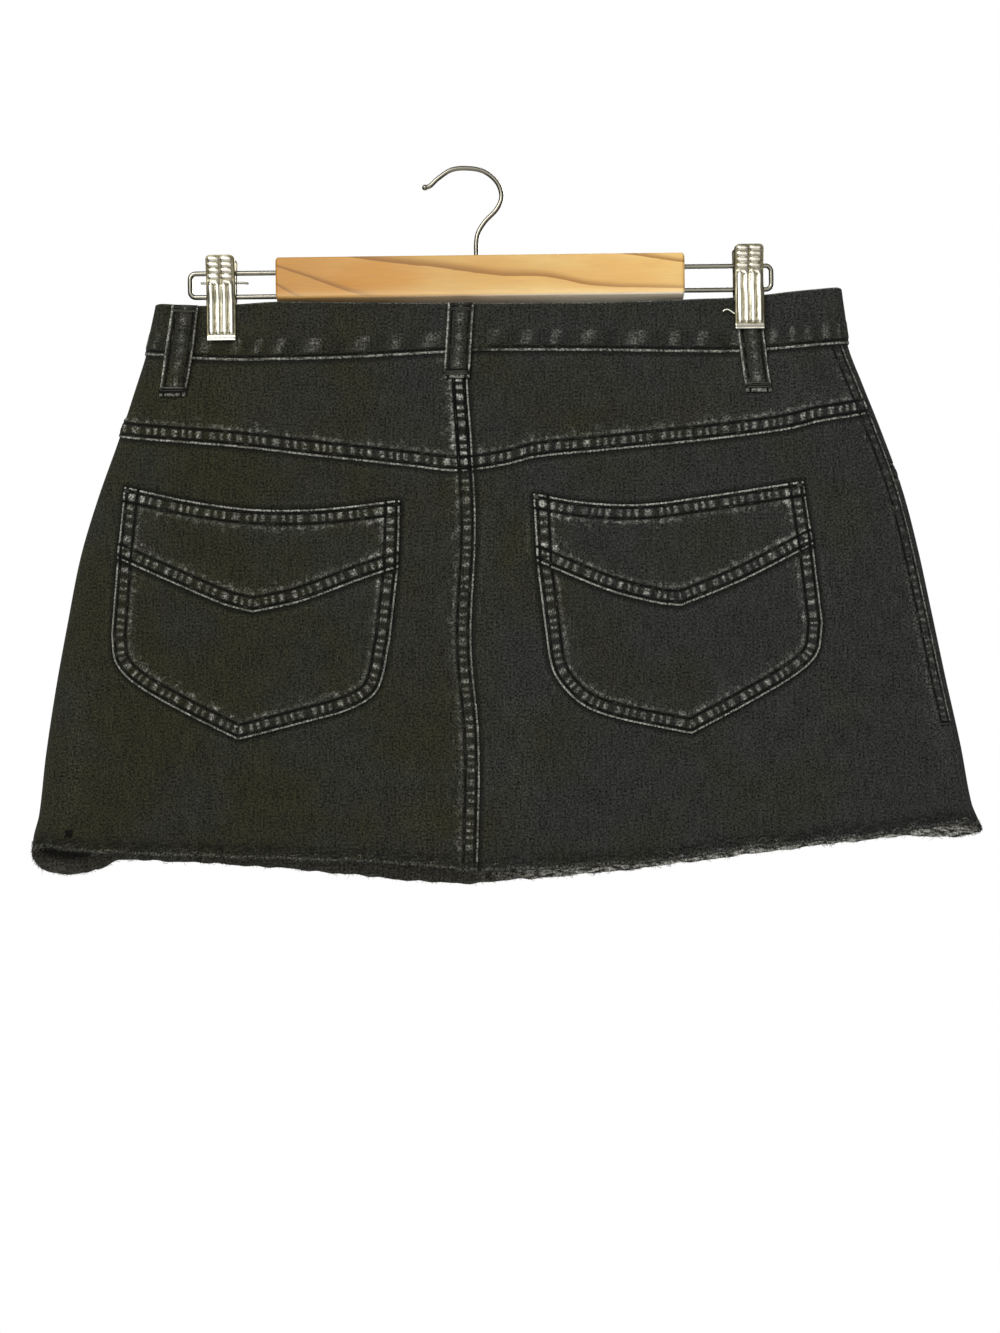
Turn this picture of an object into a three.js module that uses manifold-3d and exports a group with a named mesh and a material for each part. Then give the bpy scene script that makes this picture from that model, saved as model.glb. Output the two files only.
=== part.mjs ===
// A denim mini skirt that hangs flat from a wooden clip hanger, seen from behind.
// Millimetres, +Z up, +X to the right of a viewer who looks along +Y at the garment's back.
// The origin is the hook's seat: the underside of the top of its bend, where a rail carries it.
import * as THREE from "three";
import { mergeVertices } from "three/addons/utils/BufferGeometryUtils.js";
import Module from "manifold-3d";

const wasm = await Module();
wasm.setup();

const cloth = { wall: 1.1, seamGap: 0.3, layGap: 0.3, foldRadius: 3.6, seamRaise: 1.1 };
const seamBand = { felled: 11, yoke: 10, side: 6.5, front: 9, slope: 0.8 };
const band = { outer: 1.2, inner: -1.1, tabOver: 14, tabUnder: 26, tabEase: 12 };
const loopStrip = { width: 15.5, wall: 2, gap: 0.7, swell: 0.6, easeDown: 6 };
const pinch = { halfDepth: 1.5, flat: 10, spread: 25, jawFoot: -101, ease: 50 };
const hipPocket = { across: 95, drop: 72 };
const fly = { topZ: -122, start: 3, drop: 92, levels: 4, tapeHalf: 11, tapeWall: 1 };
const teeth = { half: 2.4, wall: 1.4, slope: 0.4 };
const fray = { gap: 0.7, root: 1.4, wall: 1.0, shortest: 2.2, longest: 6.4, locks: 104 };
const button = { radius: 8.5, height: 3.4, z: -105 };
const bar = { left: -116.5, right: 129.5, top: -52, foot: -76, depth: 12, corner: 2.6 };
const wire = { radius: 1.5, sides: 8, corner: 3.4 };
const hookWire = { radius: 1.4, sides: 8, steps: 44, tip: 1.9 };
const clip = { width: 17.7, height: 50.5, sheet: 1.1, lip: 1.4, spread: 7.6, waist: 4.8 };
const flute = { count: 4, width: 3.0, pitch: 4.4, height: 1.1 };
const pillow = { rows: 5, pitchZ: 3.9, width: 7.4, tall: 3.3, height: 0.9 };
const spring = { radius: 4.5, core: 3.8, half: 5.2, turns: 5, sides: 10 };
const ear = { wall: 1.2, past: 0.9, bite: 0.5, gap: 0.2, front: 7.6, back: 6.1 };

// The flattened skirt at some heights: where its left and right folds stand, and how deep it is.
const sections = [
  { z: -70, left: -186.5, right: 222.6, depth: 9 },
  { z: -92, left: -191.2, right: 225.3, depth: 10.5 },
  { z: -110, left: -195.8, right: 228.2, depth: 13 },
  { z: -130, left: -202.4, right: 235.6, depth: 17 },
  { z: -160, left: -212.6, right: 247.2, depth: 22 },
  { z: -195, left: -225.5, right: 259.4, depth: 25 },
  { z: -230, left: -236.4, right: 268.2, depth: 27 },
  { z: -270, left: -244.8, right: 276.4, depth: 28.5 },
  { z: -310, left: -252.5, right: 284.4, depth: 29.5 },
  { z: -350, left: -258.8, right: 292.6, depth: 30.5 },
  { z: -390, left: -263.4, right: 299.6, depth: 31.5 },
  { z: -425, left: -266.4, right: 304.6, depth: 32 },
];

// Level lines round the skirt: the height of each where it passes x, on the back and on the front.
const lines = {
  waistTop: {
    back: [
      { x: -187.5, z: -78.7 },
      { x: -159, z: -80 },
      { x: -118, z: -79.2 },
      { x: -60, z: -80.8 },
      { x: 0, z: -82.4 },
      { x: 68, z: -83.6 },
      { x: 127, z: -82.2 },
      { x: 157, z: -79.3 },
      { x: 195, z: -75.8 },
      { x: 223, z: -73.8 },
    ],
    front: [
      { x: 168, z: -79.2 },
      { x: 110, z: -85 },
      { x: 35, z: -89.5 },
      { x: -60, z: -86 },
      { x: -149, z: -79.8 },
    ],
  },
  waistSeam: {
    back: [
      { x: -195.8, z: -109.4 },
      { x: -167, z: -112.2 },
      { x: -118, z: -114 },
      { x: -72, z: -113.4 },
      { x: -30, z: -111.6 },
      { x: 10, z: -110.1 },
      { x: 78, z: -110.9 },
      { x: 138, z: -112.3 },
      { x: 184, z: -110.7 },
      { x: 228, z: -107.8 },
    ],
    front: [
      { x: 168, z: -112.6 },
      { x: 110, z: -118 },
      { x: 35, z: -122.5 },
      { x: -60, z: -119 },
      { x: -149, z: -113.2 },
    ],
  },
  yokeSeam: {
    back: [
      { x: -212, z: -157.8 },
      { x: -150, z: -165.5 },
      { x: -85, z: -173.5 },
      { x: -37, z: -179.3 },
      { x: -8, z: -182.6 },
      { x: 20, z: -179.3 },
      { x: 38, z: -175 },
      { x: 77, z: -171.5 },
      { x: 185, z: -160.7 },
      { x: 213, z: -154.7 },
      { x: 243, z: -148.8 },
    ],
    front: [
      { x: 150, z: -147 },
      { x: 0, z: -148 },
      { x: -150, z: -151 },
      { x: -182, z: -154.5 },
    ],
  },
  hem: {
    back: [
      { x: -265, z: -401.5 },
      { x: -226, z: -403.5 },
      { x: -166, z: -406.7 },
      { x: -106, z: -409.2 },
      { x: -46, z: -412.4 },
      { x: -4, z: -416.5 },
      { x: 44, z: -415.9 },
      { x: 104, z: -413 },
      { x: 164, z: -408.9 },
      { x: 224, z: -403.7 },
      { x: 290, z: -395.8 },
      { x: 303, z: -397 },
    ],
    front: [
      { x: 282, z: -401.5 },
      { x: 194, z: -405.7 },
      { x: 134, z: -413.8 },
      { x: 74, z: -420.2 },
      { x: 14, z: -425 },
      { x: -16, z: -426.4 },
      { x: -106, z: -415.8 },
      { x: -166, z: -411.4 },
      { x: -216, z: -410.2 },
      { x: -246, z: -415.4 },
    ],
  },
};

// The right fold of the felled seam down the centre of the back.
const centreBack = [
  { z: -100, x: -1.6 },
  { z: -130, x: -1.6 },
  { z: -165, x: 0.4 },
  { z: -216, x: 2.2 },
  { z: -286, x: -1.2 },
  { z: -345, x: 2.8 },
  { z: -430, x: 0.6 },
];
const sideInset = { right: 4.6, left: 30, front: 17.5, topstitchEnd: -335 };

// Soft swells of the cloth: how far each stands out of its side at the hem, and where it fades away.
const swells = [
  { side: "back", x: 34, half: 42, out: 2.4, top: -175, full: -400 },
  { side: "back", x: -150, half: 60, out: -1.6, top: -250, full: -410 },
  { side: "back", x: 205, half: 55, out: 1.8, top: -230, full: -400 },
  { side: "front", x: 120, half: 60, out: 3.2, top: -190, full: -410 },
  { side: "front", x: -95, half: 70, out: -2.4, top: -210, full: -410 },
  { side: "front", x: -243, half: 24, out: 4.2, top: -375, full: -415 },
];

// Back patch pockets: an upper piece between its top and its pointed seam, and a lower one below it.
const patchPockets = {
  left: {
    top: [
      { x: -207.5, z: -189.2 },
      { x: -164.1, z: -199.1 },
      { x: -126.8, z: -204 },
      { x: -89.5, z: -204 },
      { x: -42.8, z: -199.4 },
    ],
    seam: [
      { x: -212, z: -232 },
      { x: -177, z: -248.1 },
      { x: -147.4, z: -261 },
      { x: -131, z: -265.4 },
      { x: -102.8, z: -259.5 },
      { x: -65.4, z: -246.3 },
      { x: -44.2, z: -239.5 },
    ],
    foot: [
      { x: -216, z: -278.1 },
      { x: -213.7, z: -294.2 },
      { x: -202.7, z: -306.8 },
      { x: -177.9, z: -322 },
      { x: -141, z: -341.2 },
      { x: -103.6, z: -332 },
      { x: -72.4, z: -323.3 },
      { x: -57.2, z: -312.3 },
      { x: -49.8, z: -284 },
    ],
  },
  right: {
    top: [
      { x: 36.7, z: -196.5 },
      { x: 67, z: -201.9 },
      { x: 101, z: -203.6 },
      { x: 136.4, z: -199.6 },
      { x: 197.8, z: -190.9 },
    ],
    seam: [
      { x: 38.1, z: -236.9 },
      { x: 53.8, z: -244 },
      { x: 82.7, z: -255.8 },
      { x: 110.4, z: -263.1 },
      { x: 124, z: -264.5 },
      { x: 161.1, z: -249.8 },
      { x: 203, z: -228.8 },
    ],
    foot: [
      { x: 42.6, z: -276.8 },
      { x: 46.1, z: -300.2 },
      { x: 52.9, z: -312.3 },
      { x: 65.5, z: -323.7 },
      { x: 84.2, z: -331 },
      { x: 129, z: -340.8 },
      { x: 166.5, z: -321.2 },
      { x: 191.9, z: -306.3 },
      { x: 204.7, z: -293.9 },
      { x: 208, z: -276 },
    ],
  },
};

// Belt loops: the middle of each at its top and at its foot, and how far its foot hangs.
const beltLoops = {
  belt_loop_back_centre: { side: "back", topX: -5.1, footX: -8.3, foot: -126.8, onSeam: true },
  belt_loop_back_left: { side: "back", topX: -171, footX: -178.6, foot: -135.4 },
  belt_loop_back_right: { side: "back", topX: 166.6, footX: 172.6, foot: -137, clamped: true },
  belt_loop_front_left: { side: "front", topX: -55, footX: -56, foot: -144 },
  belt_loop_front_right: { side: "front", topX: 122, footX: 123, foot: -142 },
};

// Hanger ironwork: where the wire rails and the clips stand, and how far each jaw is from the middle.
const rails = {
  rail_left: { end: -168.5, root: bar.left - 0.3, upper: -60.3, lower: -74.6 },
  rail_right: { end: 182, root: bar.right + 0.3, upper: -59.5, lower: -73.8 },
};
const clips = {
  clip_left: { x: -149.5, top: -50.8, rails: "rail_left", backJaw: 3.0, frontJaw: 3.0 },
  clip_right: { x: 168, top: -48, rails: "rail_right", backJaw: 5.7, frontJaw: 3.0 },
};
const hookRoute = [
  { x: -26.2, z: -9.9 },
  { x: -23.2, z: -9 },
  { x: -18.6, z: -4.8 },
  { x: -10, z: 0.6 },
  { x: 0, z: 1.4 },
  { x: 9.6, z: -0.7 },
  { x: 17.2, z: -7.2 },
  { x: 19.9, z: -15.8 },
  { x: 16.9, z: -23.4 },
  { x: 9.6, z: -31 },
  { x: 5.4, z: -38 },
  { x: 4.3, z: -44.5 },
  { x: 4.3, z: bar.top + 0.3 },
];

const denim = { color: 0x2d2d2a, roughness: 0.92, metalness: 0 };
const finishes = {
  denim,
  denimPocket: { ...denim, color: 0x313130 },
  frayedThread: { ...denim, color: 0x474643 },
  pine: { color: 0xdcab68, roughness: 0.55, metalness: 0 },
  nickel: { color: 0xc9c6bd, roughness: 0.22, metalness: 1 },
  zipTape: { color: 0x1c1c1c, roughness: 0.8, metalness: 0 },
  metalButton: { color: 0x6b6760, roughness: 0.35, metalness: 1 },
};

const { clamp, lerp, smoothstep } = THREE.MathUtils;

// A smooth curve through [key, value] pairs, level with its end pairs outside them.
function curveThrough(pairs) {
  const rows = [...pairs].sort((a, b) => a[0] - b[0]);
  const slopes = rows.map((row, i) => {
    const before = rows[Math.max(i - 1, 0)];
    const after = rows[Math.min(i + 1, rows.length - 1)];
    return (after[1] - before[1]) / (after[0] - before[0]);
  });
  return (key) => {
    const at = clamp(key, rows[0][0], rows[rows.length - 1][0]);
    let i = 0;
    while (i < rows.length - 2 && at > rows[i + 1][0]) i += 1;
    const width = rows[i + 1][0] - rows[i][0];
    const t = (at - rows[i][0]) / width;
    const square = t * t;
    const cube = square * t;
    return (
      (2 * cube - 3 * square + 1) * rows[i][1] +
      (cube - 2 * square + t) * width * slopes[i] +
      (3 * square - 2 * cube) * rows[i + 1][1] +
      (cube - square) * width * slopes[i + 1]
    );
  };
}

const column = (rows, key, name) => curveThrough(rows.map((row) => [row[key], row[name]]));
const leftFold = column(sections, "z", "left");
const rightFold = column(sections, "z", "right");
const depthAt = column(sections, "z", "depth");
const middle = (z) => (leftFold(z) + rightFold(z)) / 2;
const halfWidth = (z) => (rightFold(z) - leftFold(z)) / 2;

// Places round the skirt are turns: -1 to 1 is the back from the left fold to the right one,
// 1 to 3 is the front from the right fold back to the left one, and 4 is once round.
const clampUnit = (value) => clamp(value, -1, 1);
const backTurn = (x, z) => (2 / Math.PI) * Math.asin(clampUnit((x - middle(z)) / halfWidth(z)));
const frontTurn = (x, z) => 2 - backTurn(x, z);
const turnOn = (side, x, z) => (side === "back" ? backTurn(x, z) : frontTurn(x, z));
const acrossAt = (turn) => Math.sin((turn * Math.PI) / 2);
const isBack = (turn) => Math.cos((turn * Math.PI) / 2) >= 0;
const homeTurn = (turn) => ((((turn + 1) % 4) + 4) % 4) - 1;

// A level line as a height for a turn, from its rows on the back and on the front.
function levelLine({ back, front }) {
  const pairs = [
    ...back.map((row) => [backTurn(row.x, row.z), row.z]),
    ...front.map((row) => [frontTurn(row.x, row.z), row.z]),
  ];
  const before = pairs.map(([turn, z]) => [turn - 4, z]);
  const after = pairs.map(([turn, z]) => [turn + 4, z]);
  const curve = curveThrough([...before, ...pairs, ...after]);
  return (turn) => curve(homeTurn(turn));
}

const waistTop = levelLine(lines.waistTop);
const waistSeam = levelLine(lines.waistSeam);
const yokeSeam = levelLine(lines.yokeSeam);
const hem = levelLine(lines.hem);

// 0 where a clip holds the cloth shut, 1 where the cloth is free of both clips.
function freedom(x, z) {
  const below = smoothstep(pinch.jawFoot - z, 0, pinch.ease);
  return Object.values(clips).reduce((share, { x: at }) => {
    const beside = smoothstep(Math.abs(x - at), pinch.flat, pinch.flat + pinch.spread);
    return share * (1 - (1 - beside) * (1 - below));
  }, 1);
}

function swellAt(turn, x, z) {
  const side = isBack(turn) ? "back" : "front";
  return swells
    .filter((swell) => swell.side === side)
    .reduce((sum, { x: at, half, out, top, full }) => {
      const bell = Math.exp(-(((x - at) / half) ** 2));
      return sum + out * bell * smoothstep(top - z, 0, top - full);
    }, 0);
}

// A point of the skirt's outer face: a flattened ring whose folds have the cloth's fold radius.
function skinPoint(turn, z) {
  const across = acrossAt(turn);
  const half = halfWidth(z);
  const x = middle(z) + half * across;
  const power = (8 * half * cloth.foldRadius) / depthAt(z) ** 2;
  const roundness = Math.sqrt(Math.max(0, 1 - Math.abs(across) ** power));
  const halfDepth = lerp(pinch.halfDepth, depthAt(z) / 2, freedom(x, z));
  const y = (halfDepth + swellAt(turn, x, z)) * roundness;
  return new THREE.Vector3(x, isBack(turn) ? -y : y, z);
}

// The same point moved out along the cloth's own normal.
function skinAt(turn, z, out) {
  const step = 0.004;
  const along = skinPoint(turn + step, z).sub(skinPoint(turn - step, z));
  const up = skinPoint(turn, z + 0.5).sub(skinPoint(turn, z - 0.5));
  const normal = along.cross(up).normalize();
  return skinPoint(turn, z).addScaledVector(normal, out);
}

function indexed(points, faces) {
  const flat = points.flatMap((point) => [point.x, point.y, point.z]);
  const geometry = new THREE.BufferGeometry();
  geometry.setAttribute("position", new THREE.Float32BufferAttribute(flat, 3));
  geometry.setIndex(faces);
  return geometry;
}

// A closed wall from rows of cells, each with a turn, a height, and its inner and outer offset.
function wallOf(rows) {
  const height = rows.length;
  const width = rows[0].length;
  const outer = rows.flatMap((row) => row.map((cell) => skinAt(cell.turn, cell.z, cell.outer)));
  const inner = rows.flatMap((row) => row.map((cell) => skinAt(cell.turn, cell.z, cell.inner)));
  const offset = outer.length;
  const faces = [];
  const quad = (a, b, c, d) => faces.push(a, b, c, a, c, d);
  const at = (i, j) => j * width + i;
  for (let j = 0; j + 1 < height; j += 1) {
    for (let i = 0; i + 1 < width; i += 1) {
      quad(at(i, j), at(i, j + 1), at(i + 1, j + 1), at(i + 1, j));
      quad(
        offset + at(i, j),
        offset + at(i + 1, j),
        offset + at(i + 1, j + 1),
        offset + at(i, j + 1),
      );
    }
  }
  for (let i = 0; i + 1 < width; i += 1) {
    const foot = height - 1;
    quad(at(i, 0), at(i + 1, 0), offset + at(i + 1, 0), offset + at(i, 0));
    quad(at(i + 1, foot), at(i, foot), offset + at(i, foot), offset + at(i + 1, foot));
  }
  for (let j = 0; j + 1 < height; j += 1) {
    const end = width - 1;
    quad(at(0, j + 1), at(0, j), offset + at(0, j), offset + at(0, j + 1));
    quad(at(end, j), at(end, j + 1), offset + at(end, j + 1), offset + at(end, j));
  }
  return indexed([...outer, ...inner], faces);
}

// Splits the stretches between a list of stops into their steps: [stop, next stop, share].
function divided(stops) {
  const shares = [];
  stops.slice(0, -1).forEach((stop, k) => {
    for (let n = 0; n < stop.steps; n += 1) shares.push([stop, stops[k + 1], n / stop.steps]);
  });
  const last = stops[stops.length - 1];
  return [...shares, [last, last, 0]];
}

const valueOf = (value, key) => (typeof value === "function" ? value(key) : (value ?? 0));
const mixed = (a, b, share, name, key) =>
  lerp(valueOf(a[name], key), valueOf(b[name], key), share);

// A cloth piece between upright stops (a turn for a height) and level stops (a height for a turn).
// raise thickens the outer face at a stop, and shift moves both faces out.
function clothPiece({ across, down, inner = -cloth.wall, outer = 0 }) {
  const columns = divided(across);
  return wallOf(
    divided(down).map(([upper, lower, fall]) =>
      columns.map(([left, right, share]) => {
        let z = -200;
        let turn = 0;
        for (let round = 0; round < 8; round += 1) {
          turn = lerp(left.at(z), right.at(z), share);
          z = lerp(upper.at(turn), lower.at(turn), fall);
        }
        const raise = Math.max(
          mixed(left, right, share, "raise", z),
          mixed(upper, lower, fall, "raise", turn),
        );
        const shift = mixed(left, right, share, "shift", z);
        return { turn, z, inner: inner + shift, outer: outer + shift + raise };
      }),
    ),
  );
}

const centreBackX = column(centreBack, "z", "x");
const onBack = (place) => (z) => backTurn(place(z), z);
const onFront = (place) => (z) => frontTurn(place(z), z);
const onceBack = (turnAt) => (z) => turnAt(z) - 4;
const centreFrontX = (z) => middle(z) + sideInset.front;
const rightSideX = (z) => rightFold(z) - sideInset.right;
const leftSideX = (z) => leftFold(z) + sideInset.left;
const half = cloth.seamGap / 2;
const sideHalf = cloth.seamGap;
const lowered = (line, by) => (turn) => line(turn) - by;

// How far a place on the front lies from the side seam it belongs to, along the cloth.
const foldArc = sideInset.right + 4;
function fromSideSeam(turn, z) {
  const x = middle(z) + halfWidth(z) * acrossAt(turn);
  if (isBack(turn)) return 0;
  return x > centreFrontX(z) ? rightFold(z) - x + foldArc : Math.max(0, x - leftSideX(z));
}

// The curved mouth of a hip pocket: a quarter ellipse round the corner of waist and side seam.
function scoopLine(turn) {
  const z = waistSeam(turn);
  const reach = Math.min(1, fromSideSeam(turn, z) / hipPocket.across);
  return z - hipPocket.drop * Math.sqrt(1 - reach ** 2);
}
const mouthX = {
  left: (inset) => (z) => leftSideX(z) + hipPocket.across - inset,
  right: (inset) => (z) => rightFold(z) + foldArc - hipPocket.across + inset,
};

const raise = cloth.seamRaise;
const felledBand = (edge, width, side) => [
  { at: side((z) => edge(z) - width - seamBand.slope), steps: 1, raise: 0 },
  { at: side((z) => edge(z) - width), steps: 1, raise },
  { at: side((z) => edge(z) - half), steps: 1, raise },
];
const yokeRows = [
  { at: lowered(waistSeam, cloth.seamGap), steps: 4, raise: 0 },
  { at: (turn) => yokeSeam(turn) + seamBand.yoke + seamBand.slope, steps: 1, raise: 0 },
  { at: (turn) => yokeSeam(turn) + seamBand.yoke, steps: 1, raise },
  { at: yokeSeam, steps: 1, raise },
];
const backRows = [
  { at: lowered(yokeSeam, cloth.seamGap), steps: 9 },
  { at: hem, steps: 1 },
];
const frontRows = [
  { at: lowered(scoopLine, 2 * cloth.seamGap), steps: 10 },
  { at: hem, steps: 1 },
];
const facingRows = [
  { at: lowered(waistSeam, cloth.seamGap), steps: 3 },
  { at: scoopLine, steps: 1 },
];
const sideRaise = (z) => raise * smoothstep(z, sideInset.topstitchEnd - 3, sideInset.topstitchEnd);
const rightSideBand = [
  { at: onBack((z) => rightSideX(z) - seamBand.side - seamBand.slope), steps: 1, raise: 0 },
  { at: onBack((z) => rightSideX(z) - seamBand.side), steps: 1, raise: sideRaise },
  { at: onBack((z) => rightSideX(z) - sideHalf), steps: 1, raise: sideRaise },
];
const leftSeamFromBack = (gap) => onceBack(onFront((z) => leftSideX(z) - gap));
const rightOfCentre = { at: onBack((z) => centreBackX(z) + half), steps: 12 };

const panels = {
  yoke_left: {
    across: [
      { at: leftSeamFromBack(sideHalf), steps: 15 },
      ...felledBand(centreBackX, seamBand.felled, onBack),
    ],
    down: yokeRows,
  },
  yoke_right: { across: [rightOfCentre, ...rightSideBand], down: yokeRows },
  back_left: {
    across: [
      { at: leftSeamFromBack(sideHalf), steps: 15 },
      ...felledBand(centreBackX, seamBand.felled, onBack),
    ],
    down: backRows,
  },
  back_right: { across: [rightOfCentre, ...rightSideBand], down: backRows },
  front_right: {
    across: [
      { at: onBack((z) => rightSideX(z) + sideHalf), steps: 5 },
      { at: onFront((z) => rightFold(z) - 14), steps: 6 },
      { at: onFront(mouthX.right(3)), steps: 2 },
      { at: onFront(mouthX.right(-1)), steps: 5 },
      { at: onFront((z) => centreFrontX(z) + half), steps: 1 },
    ],
    down: frontRows,
  },
  front_left: {
    across: [
      { at: onFront((z) => centreFrontX(z) - half), steps: 1, raise },
      { at: onFront((z) => centreFrontX(z) - seamBand.front), steps: 1, raise },
      { at: onFront((z) => centreFrontX(z) - seamBand.front - seamBand.slope), steps: 5 },
      { at: onFront(mouthX.left(-1)), steps: 2 },
      { at: onFront(mouthX.left(3)), steps: 6 },
      { at: onFront((z) => leftSideX(z) + sideHalf), steps: 1 },
    ],
    down: frontRows,
  },
  hip_pocket_facing_right: {
    across: [
      { at: onBack((z) => rightSideX(z) + sideHalf), steps: 5 },
      { at: onFront((z) => rightFold(z) - 14), steps: 6 },
      { at: onFront(mouthX.right(3)), steps: 1 },
      { at: onFront(mouthX.right(1.5)), steps: 1 },
    ],
    down: facingRows,
  },
  hip_pocket_facing_left: {
    across: [
      { at: onFront(mouthX.left(1.5)), steps: 1 },
      { at: onFront(mouthX.left(3)), steps: 6 },
      { at: onFront((z) => leftSideX(z) + sideHalf), steps: 1 },
    ],
    down: facingRows,
  },
};

// The waistband starts with its buttoned tab, which lies over its own far end, and runs once round.
function waistbandGeometry() {
  const lap = band.outer - band.inner + cloth.layGap;
  const frontX = (by) => onFront((z) => centreFrontX(z) + by);
  const later = (turnAt) => (z) => turnAt(z) + 4;
  const beside = [-1, -0.75, -0.5, -0.25, 0].map((share) => pinch.flat - share * pinch.spread);
  const clipStops = (at) => [
    ...beside.map((by) => at + by),
    ...beside.map((by) => at - by).reverse(),
  ];
  const leftStops = clipStops(clips.clip_left.x).filter((x) => x > lines.waistTop.back[0].x + 4);
  const rightStops = clipStops(clips.clip_right.x);
  const stopAt = (turnAt, steps) => ({ at: turnAt, steps });
  const frontStops = (xs) => xs.map((x) => stopAt(onFront(() => x), 1));
  const backStops = (xs) => xs.map((x) => stopAt(later(onBack(() => x)), 1));
  const across = [
    { at: frontX(band.tabOver), steps: 2, shift: lap },
    { at: frontX(-band.tabUnder - 3), steps: 1, shift: lap },
    { at: frontX(-band.tabUnder - 3 - band.tabEase), steps: 4 },
    ...frontStops(leftStops),
    stopAt(() => 2.8, 8),
    stopAt(() => 3.2, 1),
    ...backStops([...leftStops].reverse()),
    stopAt(later(onBack(() => -100)), 8),
    stopAt(later(onBack(() => 120)), 1),
    ...backStops([...rightStops].reverse()),
    stopAt(() => 4.8, 8),
    stopAt(() => 5.2, 1),
    ...rightStops.map((x) => stopAt(later(onFront(() => x)), 1)),
    stopAt(later(onFront(() => 120)), 5),
    { at: later(frontX(-band.tabUnder)), steps: 1 },
  ];
  const down = [
    { at: waistTop, steps: 3 },
    { at: waistSeam, steps: 1 },
  ];
  return clothPiece({ across, down, inner: band.inner, outer: band.outer });
}

// A patch of cloth laid on the skirt between two edges given as rows of x and z on its back.
function laidPatch(upper, lower, { columns, steps, footRaise = 0, footBand = 0 }) {
  const edge = (rows) => {
    const lengths = [0];
    rows.slice(1).forEach((row, i) => {
      lengths.push(lengths[i] + Math.hypot(row.x - rows[i].x, row.z - rows[i].z));
    });
    const total = lengths[lengths.length - 1];
    const pairs = (name) => rows.map((row, i) => [lengths[i] / total, row[name]]);
    return { x: curveThrough(pairs("x")), z: curveThrough(pairs("z")) };
  };
  const top = edge(upper);
  const foot = edge(lower);
  const falls = Array.from({ length: steps + 1 }, (_, j) => j / steps);
  if (footBand) falls.splice(steps, 0, 1 - footBand - 0.02, 1 - footBand);
  const inner = cloth.layGap;
  return wallOf(
    falls.map((fall) =>
      Array.from({ length: columns + 1 }, (_, i) => {
        const share = i / columns;
        const x = lerp(top.x(share), foot.x(share), fall);
        const z = lerp(top.z(share), foot.z(share), fall);
        const lift = fall >= 1 - footBand - 1e-6 ? footRaise : 0;
        return { turn: backTurn(x, z), z, inner, outer: inner + cloth.wall + lift };
      }),
    ),
  );
}

// A belt loop: a strip over the waistband that comes down onto the cloth below it.
function beltLoopGeometry({ side, topX, footX, foot, onSeam = false, clamped = false }) {
  const middleTurn = turnOn(side, topX, -90);
  const top = waistTop(middleTurn) - 0.4;
  const seam = waistSeam(turnOn(side, (topX + footX) / 2, -112));
  const over = band.outer + loopStrip.gap;
  const under = loopStrip.gap + (onSeam ? cloth.seamRaise : 0);
  const swell = clamped ? 0 : loopStrip.swell;
  const stops = [
    { z: top, inner: over },
    { z: lerp(top, seam, 0.33), inner: over + swell },
    { z: lerp(top, seam, 0.67), inner: over + swell },
    { z: seam - 0.6, inner: over },
    { z: seam - 0.6 - loopStrip.easeDown, inner: under },
    { z: foot, inner: under },
  ];
  const direction = side === "back" ? 1 : -1;
  return wallOf(
    stops.map(({ z, inner }) =>
      [-0.5, -0.17, 0.17, 0.5].map((share) => {
        const x = lerp(topX, footX, (top - z) / (top - foot));
        const turn = turnOn(side, x + direction * share * loopStrip.width, z);
        return { turn, z, inner, outer: inner + loopStrip.wall };
      }),
    ),
  );
}

// A number from 0 to 1 that looks random and is the same for the same index.
function scatter(index) {
  const value = Math.sin(index * 12.9898 + 4.1414) * 43758.5453;
  return value - Math.floor(value);
}

// The frayed edge below the hem: a narrow strip, and a lock drawn out of each of its cells.
function frayGeometry(from, to, seed) {
  const cells = Array.from({ length: fray.locks }, (_, i) => i);
  const strip = [...cells, fray.locks].flatMap((i) => {
    const turn = lerp(from, to, i / fray.locks);
    const top = hem(turn) - fray.gap;
    const low = top - fray.root;
    return [
      skinAt(turn, top, 0),
      skinAt(turn, low, 0),
      skinAt(turn, low, -fray.wall),
      skinAt(turn, top, -fray.wall),
    ];
  });
  const tips = cells.map((i) => {
    const turn = lerp(from, to, (i + 0.1 + 0.8 * scatter(seed + i)) / fray.locks);
    const length = lerp(fray.shortest, fray.longest, scatter(seed + 3 * i) ** 2);
    return skinAt(turn, hem(turn) - fray.root - length, 0.8 - 2 * scatter(seed + 7 * i));
  });
  const faces = [0, 3, 2, 0, 2, 1];
  cells.forEach((i) => {
    const a = 4 * i;
    const b = a + 4;
    const tip = strip.length + i;
    faces.push(a, a + 1, b + 1, a, b + 1, b);
    faces.push(a + 3, b + 3, b + 2, a + 3, b + 2, a + 2);
    faces.push(a, b, b + 3, a, b + 3, a + 3);
    faces.push(a + 1, tip, b + 1, b + 1, tip, b + 2, b + 2, tip, a + 2, a + 2, tip, a + 1);
  });
  const end = 4 * fray.locks;
  faces.push(end, end + 1, end + 2, end, end + 2, end + 3);
  return indexed([...strip, ...tips], faces);
}

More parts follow.
